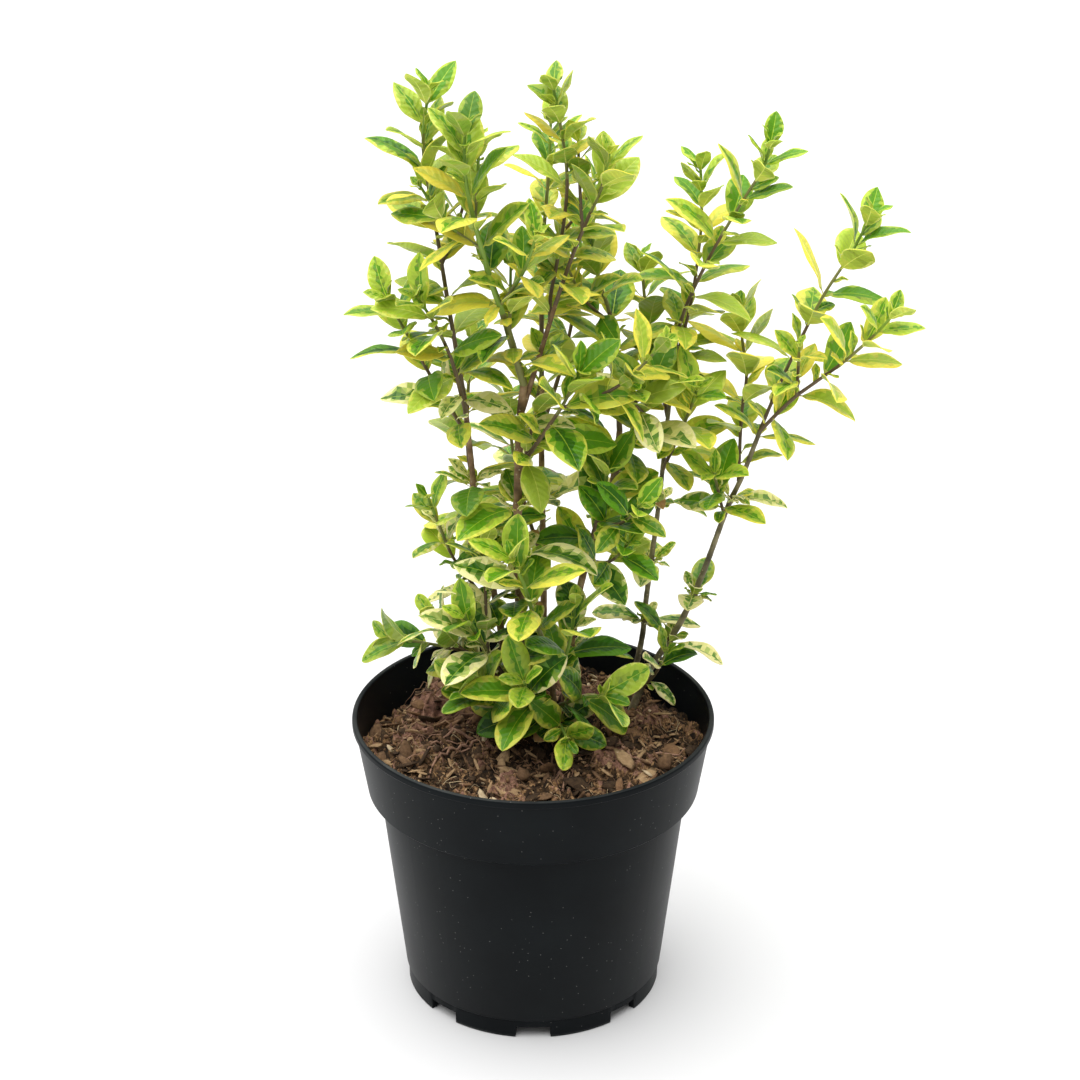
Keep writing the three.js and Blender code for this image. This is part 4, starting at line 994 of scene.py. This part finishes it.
def pot_material(name, film, dust_from, rough):
    """Injection moulded black polypropylene: a soft sheen, a faint pebbled skin and a few dust specks."""
    material, tree = new_material(name)
    place = node(tree, "ShaderNodeTexCoord").outputs["Object"]
    # Specks lie 3 mm apart where dust gathers, in patches 38 mm wide.
    points = node(tree, "ShaderNodeTexVoronoi", {"Vector": place, "Scale": 300.0}).outputs["Distance"]
    specks = node(tree, "ShaderNodeMath", {0: points, 1: 0.08}, operation="LESS_THAN").outputs["Value"]
    dust = node(tree, "ShaderNodeTexNoise", {"Vector": place, "Scale": 26.0, "Detail": 4.0}).outputs["Fac"]
    dusty = node(tree, "ShaderNodeMath", {0: dust, 1: dust_from}, operation="GREATER_THAN").outputs["Value"]
    shown = node(tree, "ShaderNodeMath", {0: specks, 1: dusty}, operation="MULTIPLY").outputs["Value"]
    black = node(tree, "ShaderNodeValToRGB", {"Fac": dust}, stops=film).outputs["Color"]
    colour = node(tree, "ShaderNodeMix", {"Factor": shown, 6: black, 7: linear("#565654")}, data_type="RGBA")
    sheen = node(tree, "ShaderNodeMapRange", {"Value": dust, "To Min": rough, "To Max": rough + 0.12})
    # The mould's pebbled skin is drawn 0.7 mm wide, as coarse as it needs to show.
    pebbles = node(tree, "ShaderNodeTexNoise", {"Vector": place, "Scale": 1500.0, "Detail": 2.0})
    bump = node(tree, "ShaderNodeBump", {"Height": pebbles.outputs["Fac"], "Strength": 0.12,
                                         "Distance": 0.0001})
    skin = node(tree, "ShaderNodeBsdfPrincipled", {
        "Base Color": colour.outputs[2],
        "Roughness": sheen.outputs["Result"],
        "IOR": 1.49,
        "Specular IOR Level": 0.07,
        "Normal": bump.outputs["Normal"],
    })
    node(tree, "ShaderNodeOutputMaterial", {"Surface": skin.outputs["BSDF"]})
    return material


def compost_material(name, scale, roughness, stops):
    """Peat and composted bark: dull, crumbly, mottled from black-brown to tan."""
    material, tree = new_material(name)
    place = node(tree, "ShaderNodeTexCoord").outputs["Object"]
    # Crumbs are a quarter as wide as the mottling.
    mottle = node(tree, "ShaderNodeTexNoise", {"Vector": place, "Scale": scale, "Detail": 8.0,
                                               "Roughness": 0.7})
    colour = node(tree, "ShaderNodeValToRGB", {"Fac": mottle.outputs["Fac"]}, stops=stops)
    crumbs = node(tree, "ShaderNodeTexNoise", {"Vector": place, "Scale": scale * 4, "Detail": 5.0})
    bump = node(tree, "ShaderNodeBump", {"Height": crumbs.outputs["Fac"], "Strength": 0.9,
                                         "Distance": 0.0008})
    peat = node(tree, "ShaderNodeBsdfPrincipled", {
        "Base Color": colour.outputs["Color"],
        "Roughness": roughness,
        "Specular IOR Level": 0.25,
        "Normal": bump.outputs["Normal"],
    })
    node(tree, "ShaderNodeOutputMaterial", {"Surface": peat.outputs["BSDF"]})
    return material


def two_tone_materials(rows):
    """Materials of small bits of compost, each from its name, scale, roughness, dark tone and light tone."""
    return [compost_material(name, scale, roughness, [(0.3, dark), (0.7, light)])
            for name, scale, roughness, dark, light in rows]


leaf_materials = []
for colour_name, colour_code in LEAF_COLOURS.items():
    for number, shade_value in enumerate(SHADES, 1):
        material_name = f"privet leaf {colour_name} {number}"
        leaf_materials.append(leaf_material(material_name, colour_code, shade_value))

plant = Privet()


def show(piece, slot_name, *nodes):
    """Make a piece part of the plant's one body and hide the nodes that it replaces; slot_name is not used.
    """
    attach(piece, "root")
    if nodes:
        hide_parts(*nodes)


def leaf_piece(node_name, tint):
    """The joined piece that a leaf belongs to."""
    return f"leaves_{tint}_right" if tint == LIME and "right" in node_name else f"leaves_{tint}"


# Leaves, joined by tint, with the many lime ones in two pieces
NODES_OF_PIECE = {}
for shoot_name, shoot_row in SHOOTS.items():
    NODES_OF_PIECE.setdefault(leaf_piece(shoot_name, shoot_row["tint"]), []).append(f"foliage_{shoot_name}")
for stem_name, pair_row in PAIRS.items():
    for pair_number in range(len(pair_row["heights"])):
        pair_name = pair_node(stem_name, pair_number + 1)
        NODES_OF_PIECE.setdefault(leaf_piece(pair_name, PAIR_TINT), []).append(f"foliage_{pair_name}")
for piece_name, piece_nodes in NODES_OF_PIECE.items():
    leaf_pile = Pile()
    for one_leaf in plant.leaves:
        if leaf_piece(one_leaf["node"], one_leaf["tint"]) == piece_name:
            add_leaf_mesh(leaf_pile, one_leaf)
    show(leaf_pile.mesh(piece_name, leaf_materials), piece_name.replace("_right", ""), *piece_nodes)

# Stems
LIMB_STEP = 1.6
SHOOT_STEP = 2.5
LIMB_SIDES = 14
SHOOT_SIDES = 8
LIMB_SWELLING = 0.5
SHOOT_SWELLING = 0.3
SWELLING_LENGTH = 1.6


def stem_mesh(pile, stem, step, sides, swell, changes):
    """A stem as a tube with swollen nodes and a rounded tip; each change is to the next material."""
    total = stem["route"][1][-1]
    count = max(4, int(total / step))
    lengths = np.linspace(0, total, count + 1)
    places, headings, radii = [], [], []
    for s in lengths:
        place, heading = along(stem["route"], s)
        swollen = sum(math.exp(-((s - n) / SWELLING_LENGTH) ** 2) for n in stem.get("nodes", []))
        uneven = 1 + 0.03 * math.sin(s * 0.9) + 0.02 * math.sin(s * 2.3)
        places.append(place)
        headings.append(heading)
        radii.append(stem_radius(stem, s) * uneven + swell * swollen)
    places.append(places[-1] + headings[-1] * radii[-1] * 0.6)
    headings.append(headings[-1])
    radii.append(radii[-1] * 0.2)
    points, faces = tube(places, headings, radii, sides)
    slots = [sum(s / total >= change for change in changes) for s in lengths]
    pile.add(points, faces, np.repeat(slots, sides))


# The two limbs on the right have the greyer bark.
RIGHT_LIMBS = ("stem_mid_right", "stem_right")
limb_pile = Pile()
for limb_name in LIMBS:
    changes = (0,) if limb_name in RIGHT_LIMBS else ()
    stem_mesh(limb_pile, plant.stems[limb_name], LIMB_STEP, LIMB_SIDES, LIMB_SWELLING, changes)
bark_materials = [bark_material("brown privet bark", ("#54402f", "#83664b", "#a88d6d")),
                  bark_material("grey-olive privet bark", ("#484232", "#6c644a", "#93896b"))]
show(limb_pile.mesh("bare_stems", bark_materials), "bark", *LIMBS)

# Young stems go from brown over olive to green; the youngest are green nearly from the foot.
GREEN_STEMS = ("top_front", "front_top", "front_mid", "front_foot", "front_side", "front_low", "left_front")
GREEN_CHANGES = (0, 0.3)
BROWN_CHANGES = (0.6, 0.85)
twig_pile = Pile()
for twig_name, twig in plant.stems.items():
    if twig_name in LIMBS:
        continue
    changes = GREEN_CHANGES if twig_name.startswith(GREEN_STEMS) else BROWN_CHANGES
    stem_mesh(twig_pile, twig, SHOOT_STEP, SHOOT_SIDES, SHOOT_SWELLING, changes)
twig_materials = [stem_material("brown young stem", "#66543f"), stem_material("olive young stem", "#7c7c48"),
                  stem_material("green young stem", "#7d9a3e")]
show(twig_pile.mesh("leafy_stems", twig_materials), "leaves_lime", *sum(NODES_OF_PIECE.values(), []))

# Pot
POT_STEP_DEGREES = 2.5
LIP_STEPS = 8
SHARP_EDGE = 32


def pot_profile():
    """The pot's section from the middle of its underside, up the outside, over the lip and down inside."""
    lip = POT_HEIGHT - LIP_HEIGHT
    floor_low = CHANNEL_HEIGHT - POT_FLOOR
    outside = [
        (0.2, 0), (CHANNEL_IN - 1, 0), (CHANNEL_IN, floor_low), (CHANNEL_OUT, floor_low),
        (CHANNEL_OUT + 0.6, 0.4), (CHANNEL_OUT + 1, 0), (FOOT_RADIUS - 0.5, 0), (FOOT_RADIUS, 0.5),
        (FOOT_RADIUS + 0.05, 1.4), (FOOT_RADIUS + 0.3, FOOT_RING_HEIGHT - 0.5),
        (BODY_FOOT_RADIUS - 0.3, FOOT_RING_HEIGHT), (BODY_FOOT_RADIUS, FOOT_RING_HEIGHT + 0.4),
        (BODY_TOP_RADIUS, COLLAR_FOOT - 1.6), (BODY_TOP_RADIUS + 0.5, COLLAR_FOOT - 1),
        (COLLAR_FOOT_RADIUS - 0.9, COLLAR_FOOT - 0.6), (COLLAR_FOOT_RADIUS, COLLAR_FOOT + 0.3),
        (COLLAR_TOP_RADIUS, lip - 0.3), (COLLAR_TOP_RADIUS + 0.3, lip), (RIM_RADIUS - 0.3, lip + 0.2),
        (RIM_RADIUS, lip + 0.6),
    ]
    rounded = []
    for k in range(LIP_STEPS + 1):
        a = math.pi * k / LIP_STEPS
        across, up = LIP_ROUND * math.cos(a), LIP_ROUND * math.sin(a)
        rounded.append((RIM_RADIUS - LIP_ROUND + across, POT_HEIGHT - LIP_ROUND + up))
    inside = [
        (RIM_RADIUS - 2.7, lip + 0.5), (pot_inside(lip), lip - 0.5),
        (pot_inside(COLLAR_FOOT + 0.1), COLLAR_FOOT + 0.8), (pot_inside(COLLAR_FOOT - 2), COLLAR_FOOT - 2),
        (pot_inside(CHANNEL_HEIGHT), CHANNEL_HEIGHT), (CHANNEL_IN + 1.6, CHANNEL_HEIGHT),
        (CHANNEL_IN, POT_FLOOR), (0.2, POT_FLOOR), (0.2, 0),
    ]
    return outside + rounded + inside


def off_angle(angle, middle):
    """How far an angle is from the middle of a notch, the short way round."""
    return abs((angle - middle + 180) % 360 - 180)


def pot_angles():
    """Angles round the pot, with a close pair at each side of each notch, and which are in a notch."""
    half = math.degrees(math.asin(NOTCH_WIDTH / 2 / FOOT_RADIUS))
    angles = list(np.arange(0, 360, POT_STEP_DEGREES))
    middles = [360 * k / NOTCH_COUNT for k in range(NOTCH_COUNT)]
    for middle in middles:
        angles = [a for a in angles if off_angle(a, middle) > half + 0.4 or off_angle(a, middle) < half - 0.4]
        angles += [(middle + d) % 360 for d in (-half - 0.1, -half + 0.1, half - 0.1, half + 0.1)]
    angles.sort()
    return angles, [any(off_angle(a, middle) < half for middle in middles) for a in angles]


def pot_piece():
    """The moulded shell, with a pale lip, part hand scuffs and part painted highlight, and a bench-scuffed
    foot ring.
    """
    profile = pot_profile()
    rows = []
    for angle, cut in zip(*pot_angles()):
        a = math.radians(angle)
        row = []
        for r, z in profile:
            if cut and r > CHANNEL_OUT + 0.1 and z < 2:
                z = NOTCH_HEIGHT - (1 if r < CHANNEL_OUT + 1.5 else 0)
            row.append((r * math.cos(a), r * math.sin(a), z))
        rows.append(row)
    rows.append(rows[0])
    pile = Pile()
    # Faces of the lip's top, paler as scuffs and as a painted highlight, and of the foot ring's underside,
    # scuffed.
    worn_and_highlit = [z > POT_HEIGHT - 0.5 or (r > CHANNEL_OUT + 1.5 and z < 1.7) for r, z in profile]
    slots = np.tile([int(a and b) for a, b in zip(worn_and_highlit, worn_and_highlit[1:])], (len(rows) - 1, 1))
    pile.add(np.array(rows).reshape(-1, 3), grid_faces(len(rows), len(profile)), slots.ravel())
    black = [(0.35, "#0c0f11"), (0.7, "#121618")]
    # Paler tones for scuffs and, on the lip, a painted highlight.
    scuff_and_highlight = [(0.35, "#1c1f20"), (0.6, "#343635"), (0.75, "#4a4b49")]
    piece = pile.mesh("nursery_pot", [pot_material("black moulded polypropylene", black, 0.46, 0.34),
                                      pot_material("scuffed polypropylene edge", scuff_and_highlight, 0.45, 0.5)])
    piece.data.set_sharp_from_angle(angle=math.radians(SHARP_EDGE))
    return piece


show(pot_piece(), "pot_plastic", "pot")

# Soil
SOIL_SEED = 37
LUMP_WAVES = 9
random = np.random.default_rng(SOIL_SEED)


def lumps(x, y, size, seed):
    """Smooth random bumps of about one size, mostly from -1 to 1."""
    source = np.random.default_rng(seed)
    total = np.zeros_like(x, dtype=float)
    for _ in range(LUMP_WAVES):
        a, phase = source.uniform(0, 2 * math.pi, 2)
        wave = source.uniform(0.7, 1.5) * 2 * math.pi / size
        total += np.sin((x * math.cos(a) + y * math.sin(a)) * wave + phase)
    return total / (LUMP_WAVES / 2)


# Clods of the old root ball and one hollow: place, half width and height.
CLODS = [(-46, 37, 14, 12), (-56, 6, 9, 3), (38, -22, 12, 5), (52, 18, 10, 5), (-12, -48, 12, 3),
         (24, 40, 12, 4), (2, -22, 15, -5)]
# The rough surface: height, size and seed of its ridges, of its swells down to crumbs and of its pits, how
# low a bump must go to be a pit, and how far it all sinks.
RIDGES = (1.6, 12, 5)
SWELLS = [(1.7, 24, 3), (1.3, 6, 7), (1.0, 3.1, 9), (0.6, 1.6, 11)]
PITS = (2.6, 10, 31)
PIT_BELOW = 0.15
SUNK = 1.2
# Its tones: bumps that make their borders uneven, the relief up to which it is dark, partly moist peat and
# partly painted shade, and from which reddish.
TONE_BORDERS = [(0.8, 15, 21), (0.5, 5, 23)]
DARK_AND_SHADED_TO, REDDISH_FROM = -0.2, 1.5
# The surface's rings and spokes, the radius where its edge is measured, and how far its outermost ring dips.
SOIL_SPOKES = 300
SOIL_RINGS = 110
SOIL_EDGE = 78
SOIL_DIP = 6
# No bit or root starts or runs beyond this distance from the middle.
BITS_LIMIT = 76.0
# Mottled over 3, 4 and 2.4 mm.
SOIL_MATERIALS = [
    ("moist dark peat with painted shade", 300.0, 0.95,
     [(0.32, "#0c0704"), (0.45, "#20160d"), (0.6, "#483521"), (0.75, "#7c6144")]),
    ("reddish bark fines", 240.0, 0.95,
     [(0.3, "#3c271e"), (0.45, "#6e4e40"), (0.6, "#98735e"), (0.75, "#c09c83")]),
    ("fibrous brown peat", 420.0, 0.95,
     [(0.32, "#1d140c"), (0.45, "#4c3724"), (0.57, "#92704c"), (0.7, "#d0ab7e")]),
]


def ground(x, y):
    """Height of the rough soil surface: lumps, pits and a few clods of the old root ball."""
    tall, size, seed = RIDGES
    rough = tall * np.abs(lumps(x, y, size, seed))
    for tall, size, seed in SWELLS:
        rough = rough + tall * lumps(x, y, size, seed)
    deep, size, seed = PITS
    rough = rough + deep * np.minimum(lumps(x, y, size, seed) + PIT_BELOW, 0)
    for cx, cy, wide, tall in CLODS:
        rough = rough + tall / (1 + (np.hypot(x - cx, y - cy) / wide) ** 6)
    return soil_height(x, y) + rough - SUNK


def ground_at(x, y):
    return float(ground(np.array(x), np.array(y)))


def soil_piece():
    """The compost's surface as rings from the pot's wall to the middle, its pits dark as moist peat and
    painted shade.
    """
    a = np.linspace(0, 2 * math.pi, SOIL_SPOKES, endpoint=False)
    reach = np.concatenate([[1.02, 1.0], np.linspace(0.99, 0.004, SOIL_RINGS)])[:, None]
    edge_heights = soil_height(SOIL_EDGE * np.cos(a), SOIL_EDGE * np.sin(a))
    edge = np.array([pot_inside(z) for z in edge_heights])[None] + 0.6
    x, y = reach * edge * np.cos(a), reach * edge * np.sin(a)
    z = ground(x, y)
    z[0] -= SOIL_DIP
    x[0], y[0] = x[1] * 0.99, y[1] * 0.99
    relief = ground(x, y) - soil_height(x, y)
    for tall, size, seed in TONE_BORDERS:
        relief = relief + tall * lumps(x, y, size, seed)
    dark, reddish, brown = range(len(SOIL_MATERIALS))
    kinds = np.where(relief < DARK_AND_SHADED_TO, dark, np.where(relief < REDDISH_FROM, brown, reddish))
    # Painted shade: the hollow under the front of the plant is dark peat. The clod at the back left is
    # reddish.
    for (cx, cy, wide, _), kind in ((CLODS[0], reddish), (CLODS[-1], dark)):
        kinds = np.where(np.hypot(x - cx, y - cy) < wide, kind, kinds)
    pile = Pile()
    faces = grid_faces(len(reach), SOIL_SPOKES, closed=True)
    pile.add(np.stack([x, y, z], -1).reshape(-1, 3), faces, kinds.ravel()[faces[:, 0]])
    return pile.mesh("compost", [compost_material(*row) for row in SOIL_MATERIALS])


show(soil_piece(), "soil", "soil")


def turned(points, angle, tilt, lean):
    """Points turned about the upright and tipped a little."""
    ca, sa, ct, st = math.cos(angle), math.sin(angle), math.cos(tilt), math.sin(tilt)
    cl, sl = math.cos(lean), math.sin(lean)
    x, y, z = points.T
    y, z = y * ct - z * st, y * st + z * ct
    x, z = x * cl + z * sl, -x * sl + z * cl
    return np.stack([x * ca - y * sa, x * sa + y * ca, z], 1)


def pebble(rings=5, sides=7):
    """A rounded lump, as a grid from pole to pole."""
    up = np.linspace(0.02, math.pi - 0.02, rings)[:, None]
    a = np.linspace(0, 2 * math.pi, sides, endpoint=False)[None]
    points = np.stack([np.sin(up) * np.cos(a), np.sin(up) * np.sin(a), np.cos(up) + 0 * a], -1).reshape(-1, 3)
    return points, grid_faces(rings, sides, closed=True)[:, ::-1]


def soil_spot(limit):
    """A random place on the soil."""
    while True:
        x, y = random.uniform(-limit, limit, 2)
        if math.hypot(x, y) < limit:
            return x, y


# Crumbs, slivers, bark flakes, clods and pale chips on the compost: how many, smallest and largest size,
# shares of length, width and height, and which of BIT_MATERIALS they may be.
BITS = [
    (1500, 0.5, 1.4, (1.0, 0.9, 0.7), [0, 1, 1, 2, 2]),
    (560, 1.0, 3.4, (1.9, 0.42, 0.22), [0, 1, 2, 3, 3]),
    (320, 1.5, 6.4, (1.35, 0.7, 0.16), [0, 0, 1, 2, 3]),
    (30, 2.4, 5.0, (1.1, 0.9, 0.5), [0, 1, 2]),
    (56, 1.2, 2.9, (1.6, 0.7, 0.35), [3, 4, 4]),
]
# Bits are mottled over 2 mm and roots over 1 mm, as their own bark is.
BIT_MATERIALS = [
    ("dark peat crumb", 600.0, 0.95, "#281c12", "#574330"),
    ("brown bark flake", 500.0, 0.95, "#523d2b", "#84664a"),
    ("reddish bark flake", 500.0, 0.95, "#5f4534", "#93714f"),
    ("tan wood sliver", 500.0, 0.95, "#8f7353", "#bd9d76"),
    ("pale wood chip", 500.0, 0.85, "#b89f7c", "#ddc9a6"),
]
FIBRE_MATERIALS = [
    ("tan root", 900.0, 0.85, "#93755a", "#ba9672"),
    ("brown root", 900.0, 0.9, "#644a39", "#8d6d53"),
    ("straw fibre", 900.0, 0.8, "#bda37c", "#dbc59e"),
    ("pinkish root skin", 900.0, 0.85, "#946e5a", "#c39a80"),
]


def bits_piece():
    """Bark flakes, crumbs, clods and a few pale chips lying on the compost."""
    pile = Pile()
    points, faces = pebble()
    for count, small, large, share, slots in BITS:
        for _ in range(count):
            x, y = soil_spot(BITS_LIMIT)
            size = small + (large - small) * random.random() ** 2
            uneven = random.uniform(0.72, 1.2, (len(points), 1))
            shape = points * size * share * uneven * random.uniform(0.8, 1.2, 3)
            shape = turned(shape, random.uniform(0, 6.3), random.normal(0, 0.45), random.normal(0, 0.45))
            z = ground_at(x, y) + size * share[2] * 0.35
            pile.add(shape + [x, y, z], faces, slots[random.integers(len(slots))])
    return pile.mesh("chips_and_crumbs", two_tone_materials(BIT_MATERIALS))


show(bits_piece(), "soil")


def strand(pile, x, y, angle, length, radius, slot, bend, arch=0):
    """A root or fibre that lies on the compost or arches over it, and wanders a little."""
    count = max(5, int(length / 2.2))
    places = []
    for step in range(count):
        lift = radius * 0.7 + 0.7 * random.random() + arch * math.sin(math.pi * step / count)
        if math.hypot(x, y) > BITS_LIMIT:
            break
        places.append(np.array([x, y, ground_at(x, y) + lift]))
        angle += random.normal(0, bend)
        x += math.cos(angle) * length / count
        y += math.sin(angle) * length / count
    last = len(places) - 1
    if last < 3:
        return
    headings = [unit(places[min(i + 1, last)] - places[max(i - 1, 0)]) for i in range(last + 1)]
    radii = [radius * (1 - 0.75 * (i / last) ** 2) for i in range(last + 1)]
    points, faces = tube(places, headings, radii, 5)
    pile.add(points, faces, slot)


# How many roots and fibres: fine ones all over, thick ones that run to the left, and others on the right
FINE_ROOTS, LEFT_ROOTS, RIGHT_ROOTS = 330, 14, 22


def fibres_piece():
    """Fine roots and straw, and thicker roots that run out to the left and right of the plant."""
    pile = Pile()
    for _ in range(FINE_ROOTS):
        x, y = soil_spot(BITS_LIMIT - 2)
        strand(pile, x, y, random.uniform(0, 6.3), random.uniform(6, 24), random.uniform(0.1, 0.26),
               [0, 0, 1, 1, 2][random.integers(5)], 0.4)
    for _ in range(LEFT_ROOTS):
        x, y = random.uniform(-30, -8), random.uniform(-14, 34)
        strand(pile, x, y, random.uniform(2.7, 3.8), random.uniform(26, 50), 0.3 + 0.6 * random.random() ** 2,
               [0, 1, 3][random.integers(3)], 0.17, random.uniform(0, 3))
    for _ in range(RIGHT_ROOTS):
        x, y = random.uniform(0, 62), random.uniform(-40, 20)
        strand(pile, x, y, random.uniform(0, 6.3), random.uniform(16, 34), random.uniform(0.35, 0.8),
               [0, 1, 3][random.integers(3)], 0.3)
    return pile.mesh("roots_and_fibres", two_tone_materials(FIBRE_MATERIALS))


show(fibres_piece(), "soil")

# Stage, light and camera
FLOOR_HALF = 15e3
SKY_STRENGTH = 0.47
LAMP_STRENGTH = 4.75
LAMP_SPREAD = 95
LAMP_TILT = (-2, -9)
floor_material, floor_tree = new_material("matt white studio sheet")
grain = node(floor_tree, "ShaderNodeTexNoise", {"Scale": 900.0, "Detail": 2.0})
floor_bump = node(floor_tree, "ShaderNodeBump", {"Height": grain.outputs["Fac"], "Strength": 0.03,
                                                 "Distance": 0.0001})
paper = node(floor_tree, "ShaderNodeBsdfPrincipled", {
    "Base Color": linear("#d9d9d9"),
    "Roughness": 0.9,
    "Specular IOR Level": 0.1,
    "Normal": floor_bump.outputs["Normal"],
})
node(floor_tree, "ShaderNodeOutputMaterial", {"Surface": paper.outputs["BSDF"]})
floor_pile = Pile()
corners = [(FLOOR_HALF * x, FLOOR_HALF * y, 0) for x, y in ((-1, -1), (1, -1), (1, 1), (-1, 1))]
floor_pile.add(np.array(corners), np.array([(0, 1, 2, 3)]), 0)
sheet = floor_pile.mesh("studio_sheet", [floor_material], smooth=False)

scene = bpy.context.scene
world = bpy.data.worlds.new("soft studio")
world.use_nodes = True
world.node_tree.nodes.clear()
sky = node(world.node_tree, "ShaderNodeBackground", {"Color": linear("#ffffff"), "Strength": SKY_STRENGTH})
node(world.node_tree, "ShaderNodeOutputWorld", {"Surface": sky.outputs["Background"]})
scene.world = world

# A very large soft lamp overhead, a little to the left, lights the whole sheet evenly.
overhead = bpy.data.lights.new("overhead silk", "SUN")
overhead.energy = LAMP_STRENGTH
overhead.angle = math.radians(LAMP_SPREAD)
overhead_holder = bpy.data.objects.new("overhead silk", overhead)
bpy.context.collection.objects.link(overhead_holder)
overhead_holder.rotation_euler = (math.radians(LAMP_TILT[0]), math.radians(LAMP_TILT[1]), 0)

# The camera looks down at its aim from the front. Its lens and sensor are in millimetres, the rest in metres.
CAMERA_ANGLE = math.radians(24.932)
CAMERA_DISTANCE = 1.3
CAMERA_AIM = (0.003226, 0.0, 0.23054)
CAMERA_LENS = 94.905
CAMERA_SENSOR = 36.0
camera_data = bpy.data.cameras.new("camera")
camera_data.sensor_width = CAMERA_SENSOR
camera_data.lens = CAMERA_LENS
camera = bpy.data.objects.new("camera", camera_data)
bpy.context.collection.objects.link(camera)
camera.location = (CAMERA_AIM[0], -CAMERA_DISTANCE * math.cos(CAMERA_ANGLE),
                   CAMERA_AIM[2] + CAMERA_DISTANCE * math.sin(CAMERA_ANGLE))
camera.rotation_euler = (math.pi / 2 - CAMERA_ANGLE, 0, 0)
scene.camera = camera
scene.view_settings.view_transform = "Standard"
